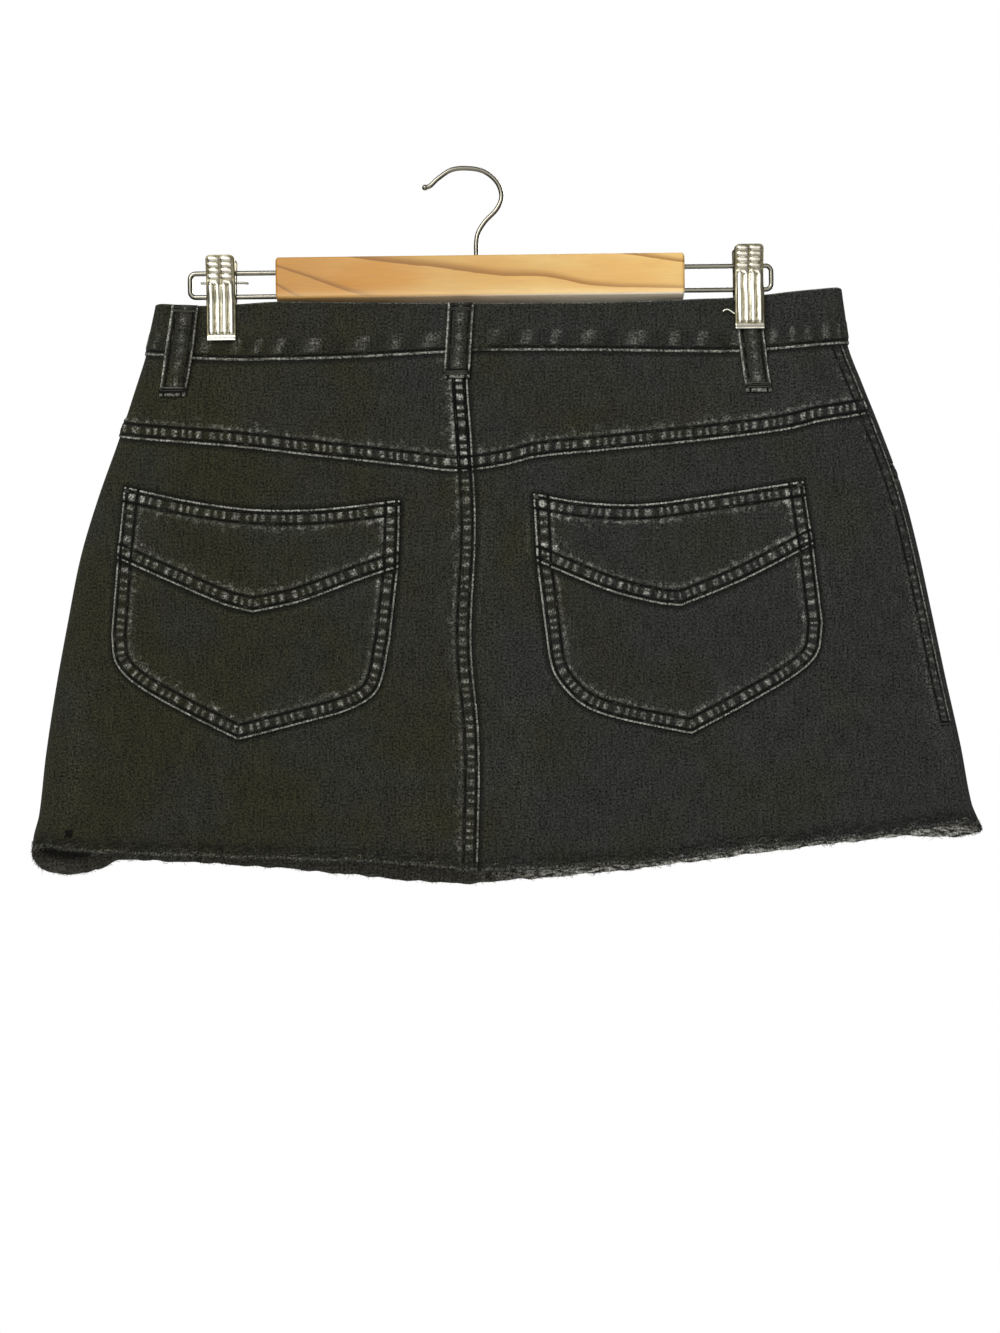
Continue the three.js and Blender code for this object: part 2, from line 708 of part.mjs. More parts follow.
// The zip's tape behind the closed fly, with its row of teeth standing towards the inside.
function zipGeometry() {
  const back = -cloth.wall - cloth.layGap;
  const tape = back - fly.tapeWall;
  const side = [
    { by: fly.tapeHalf, inner: tape },
    { by: teeth.half + teeth.slope, inner: tape },
    { by: teeth.half, inner: tape - teeth.wall },
  ];
  const columns = [...side, ...side.map(({ by, inner }) => ({ by: -by, inner })).reverse()];
  const levels = Array.from({ length: fly.levels + 1 }, (_, i) => i / fly.levels);
  return wallOf(
    levels.map((share) =>
      columns.map(({ by, inner }) => {
        const turnAt = onFront((z) => centreFrontX(z) + by);
        const z = waistSeam(turnAt(fly.topZ)) - lerp(fly.start, fly.drop, share);
        return { turn: turnAt(z), z, inner, outer: back };
      }),
    ),
  );
}

// Where a shape goes whose own +Z points out of the front of the skirt.
function placedOnFront(x, z, out) {
  const turn = frontTurn(x, z);
  const foot = skinAt(turn, z, out);
  const tip = skinAt(turn, z, out + 1);
  const outward = tip.sub(foot).normalize();
  const quaternion = new THREE.Quaternion().setFromUnitVectors(new THREE.Vector3(0, 0, 1), outward);
  return { position: foot, quaternion };
}

function buttonGeometry() {
  const { radius, height } = button;
  const profile = [
    [0, 0],
    [radius * 0.55, 0],
    [radius * 0.6, height * 0.4],
    [radius * 0.92, height * 0.45],
    [radius, height * 0.65],
    [radius * 0.9, height * 0.95],
    [radius * 0.72, height * 0.85],
    [radius * 0.5, height],
    [0, height],
  ].map(([r, z]) => new THREE.Vector2(r, z));
  return new THREE.LatheGeometry(profile, 16).rotateX(Math.PI / 2);
}

// A path through knots whose rings stand at the knots themselves, so straight runs need only two.
class KnotPath extends THREE.Curve {
  constructor(knots) {
    super();
    this.knots = knots;
  }
  getPoint(share) {
    const place = share * (this.knots.length - 1);
    const index = Math.min(Math.floor(place + 1e-6), this.knots.length - 2);
    return this.knots[index].clone().lerp(this.knots[index + 1], place - index);
  }
  getPointAt(share) {
    return this.getPoint(share);
  }
  getTangentAt(share) {
    const nearest = Math.round(share * (this.knots.length - 1));
    const before = this.knots[Math.max(nearest - 1, 0)];
    const after = this.knots[Math.min(nearest + 1, this.knots.length - 1)];
    return after.clone().sub(before).normalize();
  }
}

function circle(radius, sides) {
  const shape = new THREE.Shape();
  for (let i = 0; i < sides; i += 1) {
    const angle = ((i + 0.5) / sides) * 2 * Math.PI;
    const at = [radius * Math.cos(angle), radius * Math.sin(angle)];
    if (i === 0) shape.moveTo(...at);
    else shape.lineTo(...at);
  }
  return shape;
}

function railGeometry({ end, root, upper, lower }) {
  const out = Math.sign(end - root);
  const corner = (z, from) =>
    [0, 1, 2, 3].map((k) => {
      const angle = from + (k / 3) * (Math.PI / 2);
      return new THREE.Vector3(
        end - out * wire.corner + out * wire.corner * Math.sin(angle),
        0,
        z + wire.corner * Math.cos(angle),
      );
    });
  const knots = [
    new THREE.Vector3(root, 0, upper),
    ...corner(upper - wire.corner, 0),
    ...corner(lower + wire.corner, Math.PI / 2),
    new THREE.Vector3(root, 0, lower),
  ];
  return new THREE.ExtrudeGeometry(circle(wire.radius, wire.sides), {
    steps: knots.length - 1,
    extrudePath: new KnotPath(knots),
    bevelEnabled: false,
  });
}

function solidOf(geometry) {
  const bare = geometry.clone();
  bare.deleteAttribute("normal");
  bare.deleteAttribute("uv");
  const merged = mergeVertices(bare, 1e-4);
  return new wasm.Manifold(
    new wasm.Mesh({
      numProp: 3,
      vertProperties: merged.attributes.position.array,
      triVerts: new Uint32Array(merged.index.array),
    }),
  );
}

function geometryOf(solid) {
  const mesh = solid.getMesh();
  const geometry = new THREE.BufferGeometry();
  geometry.setAttribute("position", new THREE.BufferAttribute(mesh.vertProperties, 3));
  geometry.setIndex(new THREE.BufferAttribute(mesh.triVerts, 1));
  return geometry;
}

const joined = (geometries) =>
  geometryOf(geometries.map(solidOf).reduce((sum, solid) => sum.add(solid)));

function hookGeometry() {
  const route = new THREE.CatmullRomCurve3(hookRoute.map(({ x, z }) => new THREE.Vector3(x, 0, z)));
  const rod = new THREE.ExtrudeGeometry(circle(hookWire.radius, hookWire.sides), {
    steps: hookWire.steps,
    extrudePath: route,
    bevelEnabled: false,
  });
  const tip = new THREE.SphereGeometry(hookWire.tip, 8, 6);
  tip.translate(hookRoute[0].x, 0, hookRoute[0].z);
  return joined([rod, tip]);
}

// Stands a shape drawn in depth and height upright, and runs it along X.
function alongX(shape, from, to) {
  const geometry = new THREE.ExtrudeGeometry(shape, { depth: to - from, bevelEnabled: false });
  const basis = new THREE.Matrix4().makeBasis(
    new THREE.Vector3(0, 1, 0),
    new THREE.Vector3(0, 0, 1),
    new THREE.Vector3(1, 0, 0),
  );
  return geometry.applyMatrix4(basis).translate(from, 0, 0);
}

function barGeometry() {
  const { depth, corner, top, foot } = bar;
  const y = depth / 2;
  const shape = new THREE.Shape();
  shape.moveTo(-y + corner, foot);
  shape.lineTo(y - corner, foot);
  shape.absarc(y - corner, foot + corner, corner, -Math.PI / 2, 0);
  shape.lineTo(y, top - corner);
  shape.absarc(y - corner, top - corner, corner, 0, Math.PI / 2);
  shape.lineTo(-y + corner, top);
  shape.absarc(-y + corner, top - corner, corner, Math.PI / 2, Math.PI);
  shape.lineTo(-y, foot + corner);
  shape.absarc(-y + corner, foot + corner, corner, Math.PI, 1.5 * Math.PI);
  const points = shape.extractPoints(3).shape;
  return alongX(new THREE.Shape(points), bar.left, bar.right);
}

const springLevel = ({ rails: name }) => (rails[name].upper + rails[name].lower) / 2;

// The inside face of a clip's plate, from its top to its lip, as depth and height.
function plateLine(item, jaw) {
  const level = springLevel(item);
  const foot = item.top - clip.height;
  return [
    [clip.spread, item.top],
    [clip.waist, level + 4.2],
    [clip.waist, level - 4.2],
    [jaw, level - 10.3],
    [jaw, foot + 2.9],
    [jaw + clip.lip, foot],
  ];
}

// A block with sloping sides: the flutes and the finger pads of a pressed plate.
function pad(width, tall, height, x, y, z) {
  const block = new THREE.CylinderGeometry(0.6, Math.SQRT1_2, 1, 4);
  block.rotateY(Math.PI / 4);
  block.scale(width, height, tall);
  return block.translate(x, y + height / 2, z);
}

function clipPlate(item, jaw, earX) {
  const inner = plateLine(item, jaw);
  const outer = inner.map(([y, z]) => [y + clip.sheet, z]).reverse();
  const shape = new THREE.Shape([...inner, ...outer].map(([y, z]) => new THREE.Vector2(y, z)));
  const plate = alongX(shape, -clip.width / 2, clip.width / 2);
  const level = springLevel(item);
  const foot = item.top - clip.height;
  const faceAt = curveOfLine(inner);
  const flutes = Array.from({ length: flute.count }, (_, i) => {
    const top = level - 11;
    const low = foot + 3.4;
    const x = (i - (flute.count - 1) / 2) * flute.pitch;
    const y = jaw + clip.sheet - 0.4;
    return pad(flute.width, top - low, flute.height + 0.4, x, y, (top + low) / 2);
  });
  const pads = Array.from({ length: 2 * pillow.rows }, (_, i) => {
    const z = item.top - 2.6 - pillow.pitchZ * Math.floor(i / 2);
    const x = (i % 2 ? 1 : -1) * (pillow.width / 2 + 0.4);
    return pad(pillow.width, pillow.tall, pillow.height + 0.7, x, faceAt(z) + clip.sheet - 0.7, z);
  });
  const { upper, lower } = rails[item.rails];
  const earTall = upper - lower - 2 * (wire.radius + ear.gap);
  const earDeep = clip.waist + ear.bite + ear.past;
  const ears = [-1, 1].map((side) => {
    const block = new THREE.BoxGeometry(ear.wall, earDeep, earTall);
    return block.translate(side * earX, earDeep / 2 - ear.past, level);
  });
  return joined([plate, ...flutes, ...pads, ...ears]);
}

// Reads depth from a plate's line at a height, straight between its corners.
function curveOfLine(line) {
  return (z) => {
    const i = Math.max(1, line.findIndex(([, height]) => height <= z));
    const [[y0, z0], [y1, z1]] = [line[i - 1], line[i]];
    return lerp(y0, y1, (z0 - z) / (z0 - z1));
  };
}

function springGeometry() {
  const { radius, core, half: reach, turns, sides } = spring;
  const profile = [new THREE.Vector2(0, -reach)];
  for (let i = 0; i <= turns; i += 1) {
    const at = lerp(-reach, reach, i / turns);
    profile.push(new THREE.Vector2(core, at));
    if (i < turns) profile.push(new THREE.Vector2(radius, at + reach / turns));
  }
  profile.push(new THREE.Vector2(0, reach));
  return new THREE.LatheGeometry(profile, sides).rotateZ(Math.PI / 2);
}

const skirt = new THREE.Group();
const materials = Object.fromEntries(
  Object.entries(finishes).map(([name, look]) => [name, new THREE.MeshStandardMaterial(look)]),
);

function add(name, geometry, finish, parent = skirt) {
  const mesh = new THREE.Mesh(geometry, materials[finish].clone());
  mesh.name = name;
  parent.add(mesh);
  return mesh;
}

add("waistband", waistbandGeometry(), "denim");
Object.entries(panels).forEach(([name, piece]) => add(name, clothPiece(piece), "denim"));
Object.entries(patchPockets).forEach(([side, { top, seam, foot }]) => {
  const lowerSeam = seam.map(({ x, z }) => ({ x, z: z - cloth.seamGap }));
  const raised = { columns: 14, steps: 3, footBand: 0.17, footRaise: 0.8 };
  add(`pocket_${side}_upper`, laidPatch(top, seam, raised), "denimPocket");
  add(`pocket_${side}_lower`, laidPatch(lowerSeam, foot, { columns: 22, steps: 3 }), "denimPocket");
});
Object.entries(beltLoops).forEach(([name, item]) => add(name, beltLoopGeometry(item), "denim"));
add("fray_back", frayGeometry(-0.995, 0.995, 11), "frayedThread");
add("fray_front", frayGeometry(1.005, 2.995, 57), "frayedThread");
add("zip", zipGeometry(), "zipTape");

const tabOut = band.outer + (band.outer - band.inner + cloth.layGap);
const buttonPlace = placedOnFront(centreFrontX(button.z), button.z, tabOut + cloth.layGap);
const waistButton = add("waist_button", buttonGeometry(), "metalButton");
waistButton.position.copy(buttonPlace.position);
waistButton.quaternion.copy(buttonPlace.quaternion);

const hanger = new THREE.Group();
skirt.add(hanger);
add("hanger_hook", hookGeometry(), "nickel", hanger);
add("hanger_bar", barGeometry(), "pine", hanger);
Object.entries(rails).forEach(([name, rail]) => add(name, railGeometry(rail), "nickel", hanger));
Object.entries(clips).forEach(([name, item]) => {
  const group = new THREE.Group();
  group.position.x = item.x;
  hanger.add(group);
  add(`${name}_front_plate`, clipPlate(item, item.frontJaw, ear.front), "nickel", group);
  const back = add(`${name}_back_plate`, clipPlate(item, item.backJaw, ear.back), "nickel", group);
  back.rotation.z = Math.PI;
  const coil = add(`${name}_spring`, springGeometry(), "nickel", group);
  coil.position.z = springLevel(item);
});

export default skirt;
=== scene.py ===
import math

import bpy
import numpy as np
from mathutils import Matrix


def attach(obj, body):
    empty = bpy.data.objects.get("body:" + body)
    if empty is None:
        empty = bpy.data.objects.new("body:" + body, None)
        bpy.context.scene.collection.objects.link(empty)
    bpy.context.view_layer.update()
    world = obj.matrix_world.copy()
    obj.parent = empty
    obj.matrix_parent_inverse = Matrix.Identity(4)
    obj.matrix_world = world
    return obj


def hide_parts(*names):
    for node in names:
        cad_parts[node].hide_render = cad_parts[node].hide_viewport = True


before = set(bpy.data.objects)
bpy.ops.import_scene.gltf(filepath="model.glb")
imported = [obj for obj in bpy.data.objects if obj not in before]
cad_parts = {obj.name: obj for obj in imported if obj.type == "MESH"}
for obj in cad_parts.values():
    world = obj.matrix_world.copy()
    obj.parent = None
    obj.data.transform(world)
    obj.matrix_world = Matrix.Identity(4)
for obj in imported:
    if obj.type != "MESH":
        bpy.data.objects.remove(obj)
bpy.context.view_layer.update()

print("frame loaded:", len(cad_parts), "nodes")

# all shape values are in millimetres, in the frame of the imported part; meshes are written in metres
metresPerMm = 0.001
seed = 20

photoCamera = {
    "mmPerPixel": 0.6,
    "rollDegrees": 0.7,
    "seatPixel": (468, 168),   # where the hook's seat shows in the photo
    "pictureSize": (1000, 1333),
    "distance": 1120,
    "planeDepth": -6,          # the depth at which the scale above holds
    "sensorMm": 36,
    "clipEndMetres": 30,
}


def makeCamera(c):
    # the middle of the picture, carried from pixels to the skirt's plane by the scale and the roll
    roll = math.radians(c["rollDegrees"])
    dx = c["pictureSize"][0] / 2 - c["seatPixel"][0]
    dy = c["pictureSize"][1] / 2 - c["seatPixel"][1]
    x = c["mmPerPixel"] * (dx * math.cos(roll) - dy * math.sin(roll))
    z = -c["mmPerPixel"] * (dx * math.sin(roll) + dy * math.cos(roll))
    lens = bpy.data.cameras.new("photo_camera")
    lens.sensor_fit = "VERTICAL"
    lens.sensor_height = c["sensorMm"]
    lens.lens = c["sensorMm"] * c["distance"] / (c["pictureSize"][1] * c["mmPerPixel"])
    lens.clip_end = c["clipEndMetres"]
    camera = bpy.data.objects.new("photo_camera", lens)
    depth = c["planeDepth"] - c["distance"]
    camera.location = (x * metresPerMm, depth * metresPerMm, z * metresPerMm)
    camera.rotation_euler = (math.pi / 2, roll, 0)
    bpy.context.collection.objects.link(camera)
    bpy.context.scene.camera = camera


makeCamera(photoCamera)
print("camera")


def smooth(low, high, value):
    # 0 below low, 1 above high, and a smooth step between
    t = np.clip((value - low) / (high - low), 0, 1)
    return t * t * (3 - 2 * t)


def bell(value, at, width):
    # 1 at a place, falling off on both sides as a bell of that width
    return np.exp(-((value - at) / width) ** 2)


def curveThrough(rows, key=0, column=1):
    # cubic Hermite curve through a table's rows, each slope taken from the rows on either side
    table = sorted(rows, key=lambda row: row[key])
    k = np.array([row[key] for row in table], float)
    v = np.array([row[column] for row in table], float)
    before = np.maximum(np.arange(len(k)) - 1, 0)
    after = np.minimum(np.arange(len(k)) + 1, len(k) - 1)
    slope = (v[after] - v[before]) / (k[after] - k[before])

    def read(at):
        at = np.clip(at, k[0], k[-1])
        i = np.clip(np.searchsorted(k, at, side="right") - 1, 0, len(k) - 2)
        width = k[i + 1] - k[i]
        t = (at - k[i]) / width
        return (
            (2 * t**3 - 3 * t**2 + 1) * v[i]
            + (t**3 - 2 * t**2 + t) * width * slope[i]
            + (3 * t**2 - 2 * t**3) * v[i + 1]
            + (t**3 - t**2) * width * slope[i + 1]
        )

    return read


# the flattened skirt: height, left fold, right fold, depth
sections = [
    (-70, -186.5, 222.6, 9), (-92, -191.2, 225.3, 10.5), (-110, -195.8, 228.2, 13),
    (-130, -202.4, 235.6, 17), (-160, -212.6, 247.2, 22), (-195, -225.5, 259.4, 25),
    (-230, -236.4, 268.2, 27), (-270, -244.8, 276.4, 28.5), (-310, -252.5, 284.4, 29.5),
    (-350, -259, 292.8, 30.5), (-385, -263.4, 299, 31.5), (-400, -267.2, 304.6, 32),
    (-425, -268.4, 306.4, 32),
]
# level lines: x and z on the back, then on the front
waistTopBack = [(-187.5, -78.7), (-159, -79.8), (-118, -78.5), (-60, -79.7), (0, -80.7),
                (68, -81.3), (127, -80.2), (157, -78.8), (195, -75.8), (223, -73.8)]
waistTopFront = [(168, -79.2), (110, -85), (35, -89.5), (-60, -86), (-149, -79.8)]
waistSeamBack = [(-195.8, -109.4), (-167, -112.2), (-118, -114), (-72, -113.4), (-30, -111.6),
                 (10, -110.1), (78, -110.9), (138, -112.3), (184, -110.7), (228, -107.8)]
waistSeamFront = [(168, -112.6), (110, -118), (35, -122.5), (-60, -119), (-149, -113.2)]
yokeSeamBack = [(-212, -157.8), (-150, -165.5), (-85, -173.5), (-37, -179.3), (-8, -182.6),
                (20, -179.3), (38, -175), (77, -171.5), (185, -160.7), (213, -154.7), (243, -148.8)]
yokeSeamFront = [(150, -147), (0, -148), (-150, -151), (-182, -154.5)]
hemBack = [(-265, -401.5), (-226, -403.5), (-166, -406.7), (-106, -409.2), (-46, -412.4),
           (-4, -416.5), (44, -415.9), (104, -413), (164, -408.9), (224, -403.7), (290, -395.8),
           (303, -397)]
hemFront = [(290, -402), (258, -402), (198, -408.3), (144, -414.9), (86, -421.4), (14, -426.4),
            (-16, -427.4), (-106, -418), (-166, -413.2), (-218, -411), (-231, -416), (-241, -418.2),
            (-258, -417.8)]
# the felled seam down the centre of the back: height and place of its right fold
centreBack = [(-100, -1.6), (-130, -1.6), (-165, 0.4), (-216, 2.2), (-286, -1.2), (-345, 2.8),
              (-430, 0.6)]
# soft swells: side, x, half width, how far out, where they start and where they are full
swells = [
    ("back", 34, 42, 2.4, -175, -400), ("back", -150, 60, -1.6, -250, -410),
    ("back", 205, 55, 1.8, -230, -400), ("front", 120, 60, 3.2, -190, -410),
    ("front", -95, 70, -2.4, -210, -410), ("front", -243, 24, 4.2, -375, -415),
]
cloth = {
    "wall": 1.1, "gap": 0.3, "foldRadius": 3.6, "sideInset": 4.6, "leftInset": 30,
    "frontInset": 17.5, "topstitchEnd": -335, "seamRaise": 1.1, "felledBand": 11,
    "yokeBand": 10, "sideBand": 6.5, "frontBand": 9, "seam": 0.04,
}
waistband = {"outer": 1.2, "inner": -1.1, "tabOver": 14, "tabUnder": 26, "tabEase": 12}
clipHold = {"xs": (-149.5, 168), "half": 1.5, "flat": 10, "spread": 25, "foot": -101, "ease": 50}
hipPocket = {"across": 95, "drop": 72}

leftFold = curveThrough(sections, 0, 1)
rightFold = curveThrough(sections, 0, 2)
depthAt = curveThrough(sections, 0, 3)


def middle(z):
    return (leftFold(z) + rightFold(z)) / 2


def halfWidth(z):
    return (rightFold(z) - leftFold(z)) / 2


# places round the skirt are turns: -1 to 1 is the back from left to right, 1 to 3 the front
def backTurn(x, z):
    return 2 / np.pi * np.arcsin(np.clip((x - middle(z)) / halfWidth(z), -1, 1))


def frontTurn(x, z):
    return 2 - backTurn(x, z)


def isBack(turn):
    return np.cos(turn * np.pi / 2) >= 0


def levelLine(back, front):
    # a height for each turn, through both tables, closed over the whole round of 4
    pairs = [(float(backTurn(x, z)), z) for x, z in back]
    pairs += [(float(frontTurn(x, z)), z) for x, z in front]
    ring = [(turn + wholeTurns, z) for wholeTurns in (-4, 0, 4) for turn, z in pairs]
    read = curveThrough(ring)
    return lambda turn: read(np.mod(turn + 1, 4) - 1)


waistTop = levelLine(waistTopBack, waistTopFront)
waistSeam = levelLine(waistSeamBack, waistSeamFront)
yokeSeam = levelLine(yokeSeamBack, yokeSeamFront)
hemLine = levelLine(hemBack, hemFront)
centreBackX = curveThrough(centreBack)


def freedom(x, z):
    # 0 where a clip holds the cloth shut, 1 where it is free of both
    below = smooth(0, clipHold["ease"], clipHold["foot"] - z)
    share = 1
    for at in clipHold["xs"]:
        near = clipHold["flat"]
        beside = smooth(near, near + clipHold["spread"], np.abs(x - at))
        share = share * (1 - (1 - beside) * (1 - below))
    return share


# fine creases of the hanging cloth: side, start, end, width and height of a soft ridge
creases = [
    ("back", (44, -196), (16, -262), 7, 0.7), ("back", (14, -196), (10, -300), 10, -0.5),
    ("back", (30, -300), (26, -400), 16, 0.6), ("back", (-40, -352), (-34, -408), 14, -0.6),
    ("back", (-150, -118), (-138, -156), 9, 0.6), ("back", (-160, -118), (-186, -150), 10, -0.5),
    ("back", (160, -118), (138, -152), 9, 0.6), ("back", (178, -118), (204, -146), 10, -0.5),
    ("back", (-232, -300), (-244, -390), 12, 0.7), ("back", (262, -240), (284, -380), 10, 0.8),
    ("back", (-20, -196), (-30, -250), 8, 0.4), ("back", (230, -190), (214, -262), 9, -0.5),
    ("front", (150, -190), (190, -300), 16, 0.9), ("front", (40, -220), (60, -400), 20, 0.8),
    ("front", (-40, -230), (-80, -400), 18, -0.9), ("front", (-150, -190), (-170, -330), 14, 0.8),
    ("front", (168, -118), (120, -160), 10, 0.7), ("front", (-149, -118), (-110, -160), 10, 0.7),
]


def creaseAt(turn, x, z):
    # each ridge is a bell across a straight line, and fades out at both of its ends
    back = isBack(turn)
    total = np.zeros(np.shape(x))
    for side, (x0, z0), (x1, z1), width, height in creases:
        length = math.hypot(x1 - x0, z1 - z0)
        ux, uz = (x1 - x0) / length, (z1 - z0) / length
        along = ((x - x0) * ux + (z - z0) * uz) / length
        off = (x - x0) * uz - (z - z0) * ux
        ends = smooth(-0.25, 0.25, along) * (1 - smooth(0.75, 1.25, along))
        total = total + height * bell(off, 0, width) * ends * (back == (side == "back"))
    return total


def swellAt(turn, x, z):
    # the creases, and a bell of each swell that grows as the cloth falls
    back = isBack(turn)
    total = creaseAt(turn, x, z)
    for side, at, half, out, top, full in swells:
        fall = smooth(0, top - full, top - z)
        total = total + out * bell(x, at, half) * fall * (back == (side == "back"))
    return total


def skinPoint(turn, z):
    # a flattened ring: x runs as a sine of the turn, and depth as a superellipse of the same span
    across = np.sin(turn * np.pi / 2)
    half = halfWidth(z)
    x = middle(z) + half * across
    power = 8 * half * cloth["foldRadius"] / depthAt(z) ** 2
    roundness = np.sqrt(np.maximum(0, 1 - np.abs(across) ** power))
    free = freedom(x, z)
    deep = clipHold["half"] + (depthAt(z) / 2 - clipHold["half"]) * free
    y = (deep + swellAt(turn, x, z) * free) * roundness
    return np.stack([x, np.where(isBack(turn), -y, y), z], -1)


# how far apart the places are from which the cloth's directions are taken: a turn and a height
probe = {"turn": 0.004, "z": 0.5}


def alongSkin(turn, z):
    return skinPoint(turn + probe["turn"], z) - skinPoint(turn - probe["turn"], z)


def skinNormal(turn, z):
    # square to the direction round the skirt and to the direction up it
    along = alongSkin(turn, z)
    up = skinPoint(turn, z + probe["z"]) - skinPoint(turn, z - probe["z"])
    normal = np.cross(along, up)
    return normal / np.linalg.norm(normal, axis=-1, keepdims=True)


def skinAt(turn, z, out):
    # the skin's point, moved out along the cloth's own normal
    turn, z = np.broadcast_arrays(np.asarray(turn, float), np.asarray(z, float))
    return skinPoint(turn, z) + skinNormal(turn, z) * np.asarray(out, float)[..., None]


def addMesh(name, points, faceSets, material, values=None):
    # points in millimetres; each face set is an array of quads or of triangles;
    # values are point attributes
    mesh = bpy.data.meshes.new(name)
    corners = np.concatenate([faces.ravel() for faces in faceSets])
    sizes = np.concatenate([np.full(len(faces), faces.shape[1]) for faces in faceSets])
    mesh.vertices.add(len(points))
    mesh.vertices.foreach_set("co", (points * metresPerMm).astype(np.float32).ravel())
    mesh.loops.add(len(corners))
    mesh.loops.foreach_set("vertex_index", corners.astype(np.int32))
    mesh.polygons.add(len(sizes))
    mesh.polygons.foreach_set("loop_start", (np.cumsum(sizes) - sizes).astype(np.int32))
    mesh.polygons.foreach_set("use_smooth", np.ones(len(sizes), bool))
    for key, value in (values or {}).items():
        value = np.asarray(value, np.float32)
        kind, field = ("FLOAT_VECTOR", "vector") if value.ndim == 2 else ("FLOAT", "value")
        mesh.attributes.new(key, kind, "POINT").data.foreach_set(field, value.ravel())
    mesh.update(calc_edges=True)
    mesh.validate()
    mesh.materials.append(material)
    piece = bpy.data.objects.new(name, mesh)
    bpy.context.collection.objects.link(piece)
    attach(piece, "root")
    return piece


def closedShell(outer, inner):
    # two grids of rows and columns become one closed wall: an outer face, an inner face and a rim
    rows, columns = outer.shape[:2]
    count = rows * columns
    grid = np.arange(count).reshape(rows, columns)
    face = np.stack([grid[:-1, :-1], grid[1:, :-1], grid[1:, 1:], grid[:-1, 1:]], -1).reshape(-1, 4)
    rim = np.concatenate([grid[0, :-1], grid[:-1, -1], grid[-1, :0:-1], grid[:0:-1, 0]])
    after = np.roll(rim, -1)
    wall = np.stack([rim, after, after + count, rim + count], -1)
    points = np.concatenate([outer.reshape(-1, 3), inner.reshape(-1, 3)])
    return points, [np.concatenate([face, face[:, ::-1] + count, wall])]


def twice(value):
    # a value of each grid point, for the outer and the inner face of its shell
    flat = value.reshape(-1, value.shape[-1]) if value.ndim == 3 else value.ravel()
    return np.concatenate([flat, flat])


def tubes(paths, radii, reference, sides=6):
    # many closed tubes at once: rings of a radius round each path's points, with a pole at each end
    count, knots = paths.shape[:2]
    tangent = np.gradient(paths, axis=1)
    tangent /= np.linalg.norm(tangent, axis=-1, keepdims=True)
    side = np.cross(tangent, np.broadcast_to(reference, tangent.shape))
    side /= np.linalg.norm(side, axis=-1, keepdims=True)
    up = np.cross(side, tangent)
    angle = np.arange(sides) / sides * 2 * np.pi
    wheel = side[:, :, None] * np.cos(angle)[:, None] + up[:, :, None] * np.sin(angle)[:, None]
    radii = np.broadcast_to(np.asarray(radii, float), (count, knots))
    rings = paths[:, :, None] + wheel * radii[:, :, None, None]
    poles = paths[:, [0, -1]] + tangent[:, [0, -1]] * radii[:, [0, -1], None] * [[[-0.6], [0.6]]]
    points = np.concatenate([rings.reshape(count, -1, 3), poles], 1)
    size = points.shape[1]
    spin = np.arange(sides)
    following = np.roll(spin, -1)
    level = (np.arange(knots - 1) * sides)[:, None]
    above = level + sides
    quads = np.stack([level + spin, level + following, above + following, above + spin], -1)
    last = (knots - 1) * sides
    ends = np.concatenate([
        np.stack([following, spin, np.full(sides, size - 2)], -1),
        np.stack([last + spin, last + following, np.full(sides, size - 1)], -1),
    ])
    shift = (np.arange(count) * size)[:, None, None]
    faceSets = [(quads.reshape(1, -1, 4) + shift).reshape(-1, 4), (ends + shift).reshape(-1, 3)]
    return points.reshape(-1, 3), faceSets, size


def joinedSets(parts):
    # several sets of points and faces become one
    points = np.concatenate([p for p, _ in parts])
    starts = np.cumsum([0] + [len(p) for p, _ in parts[:-1]])
    faceSets = [faces + start for (_, sets), start in zip(parts, starts) for faces in sets]
    return points, faceSets


class Field:
    # a socket of a material: an expression on fields adds the Math nodes it needs
    def __init__(self, paint, socket):
        self.paint = paint
        self.socket = socket

    def math(self, operation, *others):
        values = dict(enumerate([self, *others]))
        return self.paint.node("Math", {"operation": operation}, values)

    def __add__(self, other):
        return self.math("ADD", other)

    __radd__ = __add__

    def __mul__(self, other):
        return self.math("MULTIPLY", other)

    __rmul__ = __mul__

    def __sub__(self, other):
        return self.math("SUBTRACT", other)

    def __rsub__(self, other):
        return self.paint.node("Math", {"operation": "SUBTRACT"}, {0: other, 1: self})

    def __truediv__(self, other):
        return self.math("DIVIDE", other)

    def __neg__(self):
        return self * -1

    def sine(self):
        return self.math("SINE")

    def smooth(self, low, high):
        # 0 below low, 1 above high; a falling step where low is the larger one
        values = {"Value": self, "From Min": low, "From Max": high}
        return self.paint.node("MapRange", {"interpolation_type": "SMOOTHSTEP"}, values)

    def bell(self, at, width):
        # exp(-((value - at) / width) ^ 2)
        off = (self - at) * (1 / width)
        return (off * off * -1).math("EXPONENT")


